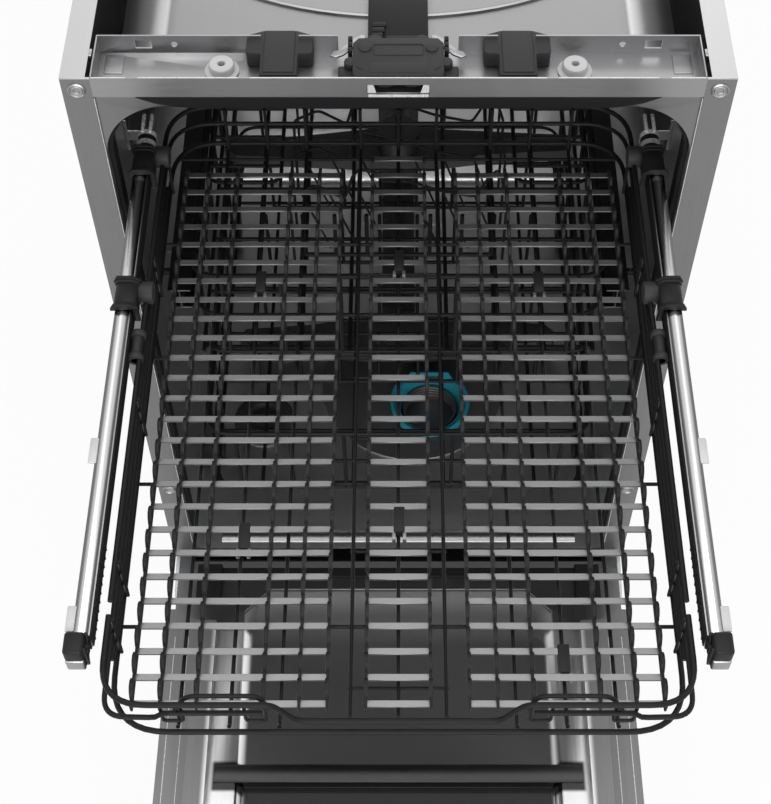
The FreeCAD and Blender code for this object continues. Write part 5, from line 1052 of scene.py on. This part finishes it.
def embossings():
    bm = bmesh.new()
    box(bm, (150.0, FRONT + 4.0, RAIL_FLOOR - 0.4), (190.0, FRONT + 9.5, RAIL_FLOOR + 0.9), 0.6, 3)
    box(bm, (186.0, FRONT + 20.0, RAIL_FLOOR - 0.4), (199.0, FRONT + 38.0, RAIL_FLOOR + 0.7), 0.5, 3)
    for x in (102.0, 176.0):
        box(bm, (x - 3.0, FOLD_FRONT, 812.0), (x + 3.0, FRONT + 1.15, 814.9), 0.3)
    box(bm, (203.0, FRONT + 2.0, 799.0), (204.2, RAIL_REAR, 814.8), 0.4)
    box(bm, (205.0, FRONT + 22.0, 809.0), (212.0, FRONT + 29.0, 814.6), 0.7)
    mirror_x(bm)
    finish_piece("rail_embossings", bm, "rail_steel", "cabinet")


def tub_beads():
    bm = bmesh.new()
    angles = [math.tau * step / TOP_BEAD_STEPS for step in range(TOP_BEAD_STEPS)]
    ring = [(TOP_BEAD_WIDTH * math.cos(angle), TOP_BEAD_Y + TOP_BEAD_DEPTH * math.sin(angle), 790.2)
            for angle in angles]
    wire(bm, ring, 2.2, 8, closed=True)
    finish_piece("tub_top_bead", bm, "tub_steel", "cabinet")
    bm = bmesh.new()
    plate(bm, arc((FRONT + 15.0, 177.5), 11.1, 40.0, 140.0, 12), "X", -176.0, 176.0)
    finish_piece("tub_sill", bm, "satin_plating", "cabinet")


def lock_connectors():
    bm = bmesh.new()
    box(bm, (-21.0, FRONT + 52.0, 796.0), (20.5, FRONT + 128.0, 801.5), 1.2)
    box(bm, (-9.0, FRONT + 44.0, 797.0), (19.0, FRONT + 54.0, 804.0), 1.0)
    for number in range(3):
        y = FRONT + 50.0 + number * 6.5
        box(bm, (-18.0, y, 798.0), (-10.5 + number, y + 4.6, 806.0 - number), 0.6)
    finish_piece("lock_connectors", bm, "black_plastic", "cabinet")


def fold_highlights():
    """Painted highlights: thin pale strips and wires along the folds of the top rail, the posts and the door
    liner.
    """
    bm = bmesh.new()
    for low, high in ((21.2, 98.0), (106.0, 172.0), (180.0, 203.0)):
        box(bm, (low, FOLD_FRONT, FOLD_LOW), (high, FOLD_BACK, FOLD_TOP), 0.1, 1)
    wire(bm, [(203.4, FRONT - 0.05, 200.0), (203.4, FRONT - 0.05, 797.0)], 0.35, 6)
    mirror_x(bm)
    box(bm, (-21.0, FOLD_FRONT, FOLD_LOW), (21.0, FOLD_BACK, FOLD_TOP), 0.1, 1)
    finish_piece("fold_highlights", bm, "fork_steel", "cabinet")
    # Painted highlights along the folds of the door liner
    bm = bmesh.new()
    for x in LINER_FOLDS:
        wire(bm, [(x, FRONT - 90.0, 172.9), (x, FRONT - 640.0, 172.9)], 0.4, 6)
    mirror_x(bm)
    finish_piece("liner_fold_highlights", bm, "fork_steel", "door")


def mouth_brow():
    """Dark seal strip along the top edge of the tub's mouth."""
    bm = bmesh.new()
    plate(bm, symmetric(BROW_OUTLINE), "Y", FRONT - 0.4, FRONT + 2.0, 0.15)
    finish_piece("mouth_brow", bm, "soft_rubber", "cabinet")


def screw_heads():
    bm = bmesh.new()
    for z in SCREW_LEVELS:
        lathe(bm, SCREW_OUTLINE, (HALF_WIDTH - 10.1, FRONT, z), (0, -1, 0), 28)
    mirror_x(bm)
    finish_piece("screw_heads", bm, "screw_steel", "cabinet", "post_screws")


class DISHWASHER_OT_top_rail(bpy.types.Operator):
    """Makes the fittings on the top rail and round the tub's mouth"""
    bl_idname = "dishwasher.top_rail"
    bl_label = "Top rail fittings"

    def execute(self, context):
        for make in (rail_blocks, bushes, embossings, tub_beads, lock_connectors, fold_highlights, mouth_brow,
                     screw_heads):
            make()
        return {"FINISHED"}


# Lock on the top rail
LOCK_FRONT, LOCK_BACK = FRONT + 5.2, FRONT + 42.4
SHELL_OUTLINE = ((29.5, LOCK_FRONT), (30.6, LOCK_FRONT + 3.0), (30.6, LOCK_BACK - 5.0), (27.0, LOCK_BACK))
MARK_OUTLINE = ((29.0, 8.6), (28.2, 9.8), (23.6, 6.0), (24.4, 4.8))
LEVER_OUTLINE = ((46.0, 23.0), (42.0, 21.5), (37.0, 24.0), (26.0, 36.0), (22.5, 39.5), (22.0, 43.0),
                 (25.0, 44.0), (29.5, 41.0), (39.0, 29.5), (44.0, 27.5))
CHEEK_OUTLINE = ((14.8, 0.5), (20.6, 0.5), (20.6, 8.8), (17.0, 8.8))
PRONG_OUTLINE = ((3.0, 8.6), (16.0, 8.6), (12.0, 5.2), (6.0, 5.2))
PLATE_HALF, PLATE_NEAR, PLATE_FAR, PLATE_LEVEL = 17.0, LOCK_BACK - 17.0, LOCK_BACK - 6.4, RAIL_CROWN - 1.5


def shifted(outline, rise):
    """An outline whose second coordinate is raised."""
    return [(a, b + rise) for a, b in outline]


def lock_shell():
    bm = bmesh.new()
    box(bm, (21.2, LOCK_FRONT + 0.5, RAIL_FLOOR), (30.2, LOCK_BACK - 1.0, RAIL_FLOOR + 9.6), 0.5)
    box(bm, (29.0, LOCK_FRONT + 1.0, RAIL_FLOOR), (40.4, LOCK_FRONT + 16.0, RAIL_FLOOR + 6.5), 1.4, 3)
    for place, radius, length, soften in (((32.2, LOCK_FRONT + 15.0, RAIL_FLOOR + 5.0), 4.2, 6.6, 0.8),
                                          ((22.6, LOCK_BACK - 10.0, RAIL_CROWN - 2.0), 4.4, 1.6, 0.6),
                                          ((16.0, LOCK_BACK + 0.5, RAIL_FLOOR + 4.0), 6.0, 5.0, 0.4)):
        drum(bm, place, (0, 0, 1), radius, length, soften, 24)
    mirror_x(bm)
    plate(bm, symmetric(SHELL_OUTLINE), "Z", RAIL_FLOOR + 9.2, RAIL_CROWN - 1.6, 1.0)
    box(bm, (-19.0, LOCK_FRONT + 3.0, RAIL_FLOOR + 8.6), (19.0, LOCK_FRONT + 13.0, RAIL_CROWN - 1.3), 0.4, 3)
    # Raised frame on the housing's plate
    border = [(-PLATE_HALF, PLATE_NEAR, PLATE_LEVEL), (PLATE_HALF, PLATE_NEAR, PLATE_LEVEL),
              (PLATE_HALF, PLATE_FAR, PLATE_LEVEL), (-PLATE_HALF, PLATE_FAR, PLATE_LEVEL)]
    wire(bm, rounded(border, 2.4, 4, closed=True), 0.55, 6, closed=True)
    finish_piece("lock_shell", bm, "lock_plastic", "cabinet", "lock_housing")


def lock_marks():
    bm = bmesh.new()
    plate(bm, shifted(MARK_OUTLINE, LOCK_FRONT), "Z", RAIL_CROWN - 2.2, RAIL_CROWN - 1.5)
    for number in range(3):
        y = LOCK_BACK - 1.0 - number * 5.4
        box(bm, (31.0, y - 2.0, RAIL_FLOOR + 5.0), (34.0, y + 2.0, RAIL_CROWN - 1.0), 0.5)
    mirror_x(bm)
    finish_piece("lock_marks", bm, "black_plastic", "cabinet")


def lock_levers():
    bm = bmesh.new()
    plate(bm, shifted(LEVER_OUTLINE, LOCK_FRONT), "Z", RAIL_FLOOR + 7.4, RAIL_FLOOR + 9.0, 0.5)
    mirror_x(bm)
    box(bm, (-20.6, FRONT + 1.5, RAIL_FLOOR), (20.6, FRONT + 30.0, RAIL_FLOOR + 0.5), 0.2, 1)
    finish_piece("lock_levers", bm, "satin_plating", "cabinet")


def lock_cheeks():
    bm = bmesh.new()
    plate(bm, shifted(CHEEK_OUTLINE, RAIL_FLOOR), "Y", FRONT + 1.4, FRONT + 2.2)
    mirror_x(bm)
    box(bm, (-20.0, FRONT - 0.2, 798.2), (20.0, FRONT + 0.2, 800.4), 0.1, 1)
    finish_piece("lock_cheeks", bm, "fork_steel", "cabinet")


def latch_prongs():
    bm = bmesh.new()
    plate(bm, shifted(PRONG_OUTLINE, RAIL_FLOOR), "Y", FRONT + 1.6, FRONT + 3.6, 0.5)
    box(bm, (15.6, FRONT + 9.0, RAIL_FLOOR + 2.8), (20.6, FRONT + 24.0, RAIL_FLOOR + 5.4), 0.8)
    mirror_x(bm)
    box(bm, (-20.6, FRONT + 22.6, RAIL_FLOOR + 2.6), (20.6, FRONT + 26.6, RAIL_FLOOR + 5.6), 0.8)
    finish_piece("latch_prongs", bm, "black_plastic", "latch", "latch_hook")


class DISHWASHER_OT_lock(bpy.types.Operator):
    """Makes the lock housing with its levers and the latch"""
    bl_idname = "dishwasher.lock"
    bl_label = "Lock"

    def execute(self, context):
        for make in (lock_shell, lock_marks, lock_levers, lock_cheeks, latch_prongs):
            make()
        return {"FINISHED"}


# Micro filter
FILTER_X, FILTER_Y, FILTER_Z = 33.0, FRONT + 171.0, 190.0
FUNNEL_OUTLINE = ((34.0, -24.0), (34.0, -0.6), (40.0, -0.6), (41.0, 1.6), (40.2, 4.4), (37.6, 5.6),
                  (32.0, 1.8), (29.4, -8.0), (28.4, -24.0), (34.0, -24.0))
SIEVE_OUTLINE = ((0.0, -24.0), (27.2, -24.0), (27.2, -3.0), (28.2, -3.0), (28.2, -25.0), (0.0, -25.0))
EAR_RADIUS, EAR_REACH = 39.6, 34.0
LID_OUTLINE = ((26.0, 2.0), (20.0, 15.0))


def at_level(points, rise):
    """Points in the plane, placed at a height over the filter's seat."""
    return [(x, y, FILTER_Z + rise) for x, y in points]


class DISHWASHER_OT_filter(bpy.types.Operator):
    """Makes the micro filter with its funnel, ears and mesh"""
    bl_idname = "dishwasher.filter"
    bl_label = "Filter"

    def execute(self, context):
        centre, place = (FILTER_X, FILTER_Y), (FILTER_X, FILTER_Y, FILTER_Z)
        bm = bmesh.new()
        lathe(bm, FUNNEL_OUTLINE, place, steps=56)
        for middle in (0.0, 180.0):
            ear = arc(centre, EAR_RADIUS, middle - EAR_REACH, middle + EAR_REACH, 12)
            wire(bm, at_level(ear[:1], 2.0) + at_level(ear, 9.0) + at_level(ear[-1:], 2.0), 2.4)
            wire(bm, at_level(ear, 5.4), 2.2)
        lid = shifted(symmetric(LID_OUTLINE, FILTER_X), FILTER_Z)
        plate(bm, lid, "Y", FILTER_Y + 31.0, FILTER_Y + 33.6, 0.8)
        finish_piece("filter_funnel", bm, "filter_plastic", "filter", "filter_cylinder")
        bm = bmesh.new()
        lathe(bm, SIEVE_OUTLINE, place)
        for number in range(4):
            ring = arc(centre, 26.8, 0.0, 345.0, 23)
            wire(bm, at_level(ring, -5.0 - number * 4.6), 0.9, 6, closed=True)
        finish_piece("filter_sieve", bm, "filter_mesh", "filter", "filter_cylinder")
        return {"FINISHED"}


# Rounded skins
class DISHWASHER_OT_skins(bpy.types.Operator):
    """Lays a skin with rounded edges over the sheet and moulded pieces"""
    bl_idname = "dishwasher.skins"
    bl_label = "Rounded skins"

    def execute(self, context):
        for finish, edge, nodes in SKINS:
            for node in nodes:
                softened_copy(node, finish, edge)
        return {"FINISHED"}


OPERATORS = (
    DISHWASHER_OT_finishes,
    DISHWASHER_OT_stage,
    DISHWASHER_OT_tray_frame,
    DISHWASHER_OT_inserts,
    DISHWASHER_OT_tray_rails,
    DISHWASHER_OT_rail_fittings,
    DISHWASHER_OT_baskets,
    DISHWASHER_OT_top_rail,
    DISHWASHER_OT_lock,
    DISHWASHER_OT_filter,
    DISHWASHER_OT_skins,
)


class DISHWASHER_PT_panel(bpy.types.Panel):
    """Lists the settings and the pieces of the dishwasher"""
    bl_label = "Dishwasher"
    bl_idname = "DISHWASHER_PT_panel"
    bl_space_type = "VIEW_3D"
    bl_region_type = "UI"
    bl_category = "Dishwasher"

    def draw(self, context):
        layout = self.layout
        for settings in (context.scene.dishwasher_sizes, context.scene.dishwasher_colours):
            for key in settings.__annotations__:
                layout.prop(settings, key)
        for operator in OPERATORS:
            layout.operator(operator.bl_idname)


CLASSES = (DishwasherColours, DishwasherSizes, *OPERATORS, DISHWASHER_PT_panel)


def register():
    for item in CLASSES:
        bpy.utils.register_class(item)
    bpy.types.Scene.dishwasher_colours = PointerProperty(type=DishwasherColours)
    bpy.types.Scene.dishwasher_sizes = PointerProperty(type=DishwasherSizes)


def unregister():
    del bpy.types.Scene.dishwasher_sizes
    del bpy.types.Scene.dishwasher_colours
    for item in reversed(CLASSES):
        bpy.utils.unregister_class(item)


def main():
    register()
    for operator in OPERATORS:
        group, name = operator.bl_idname.split(".")
        getattr(getattr(bpy.ops, group), name)()


if __name__ == "__main__":
    main()
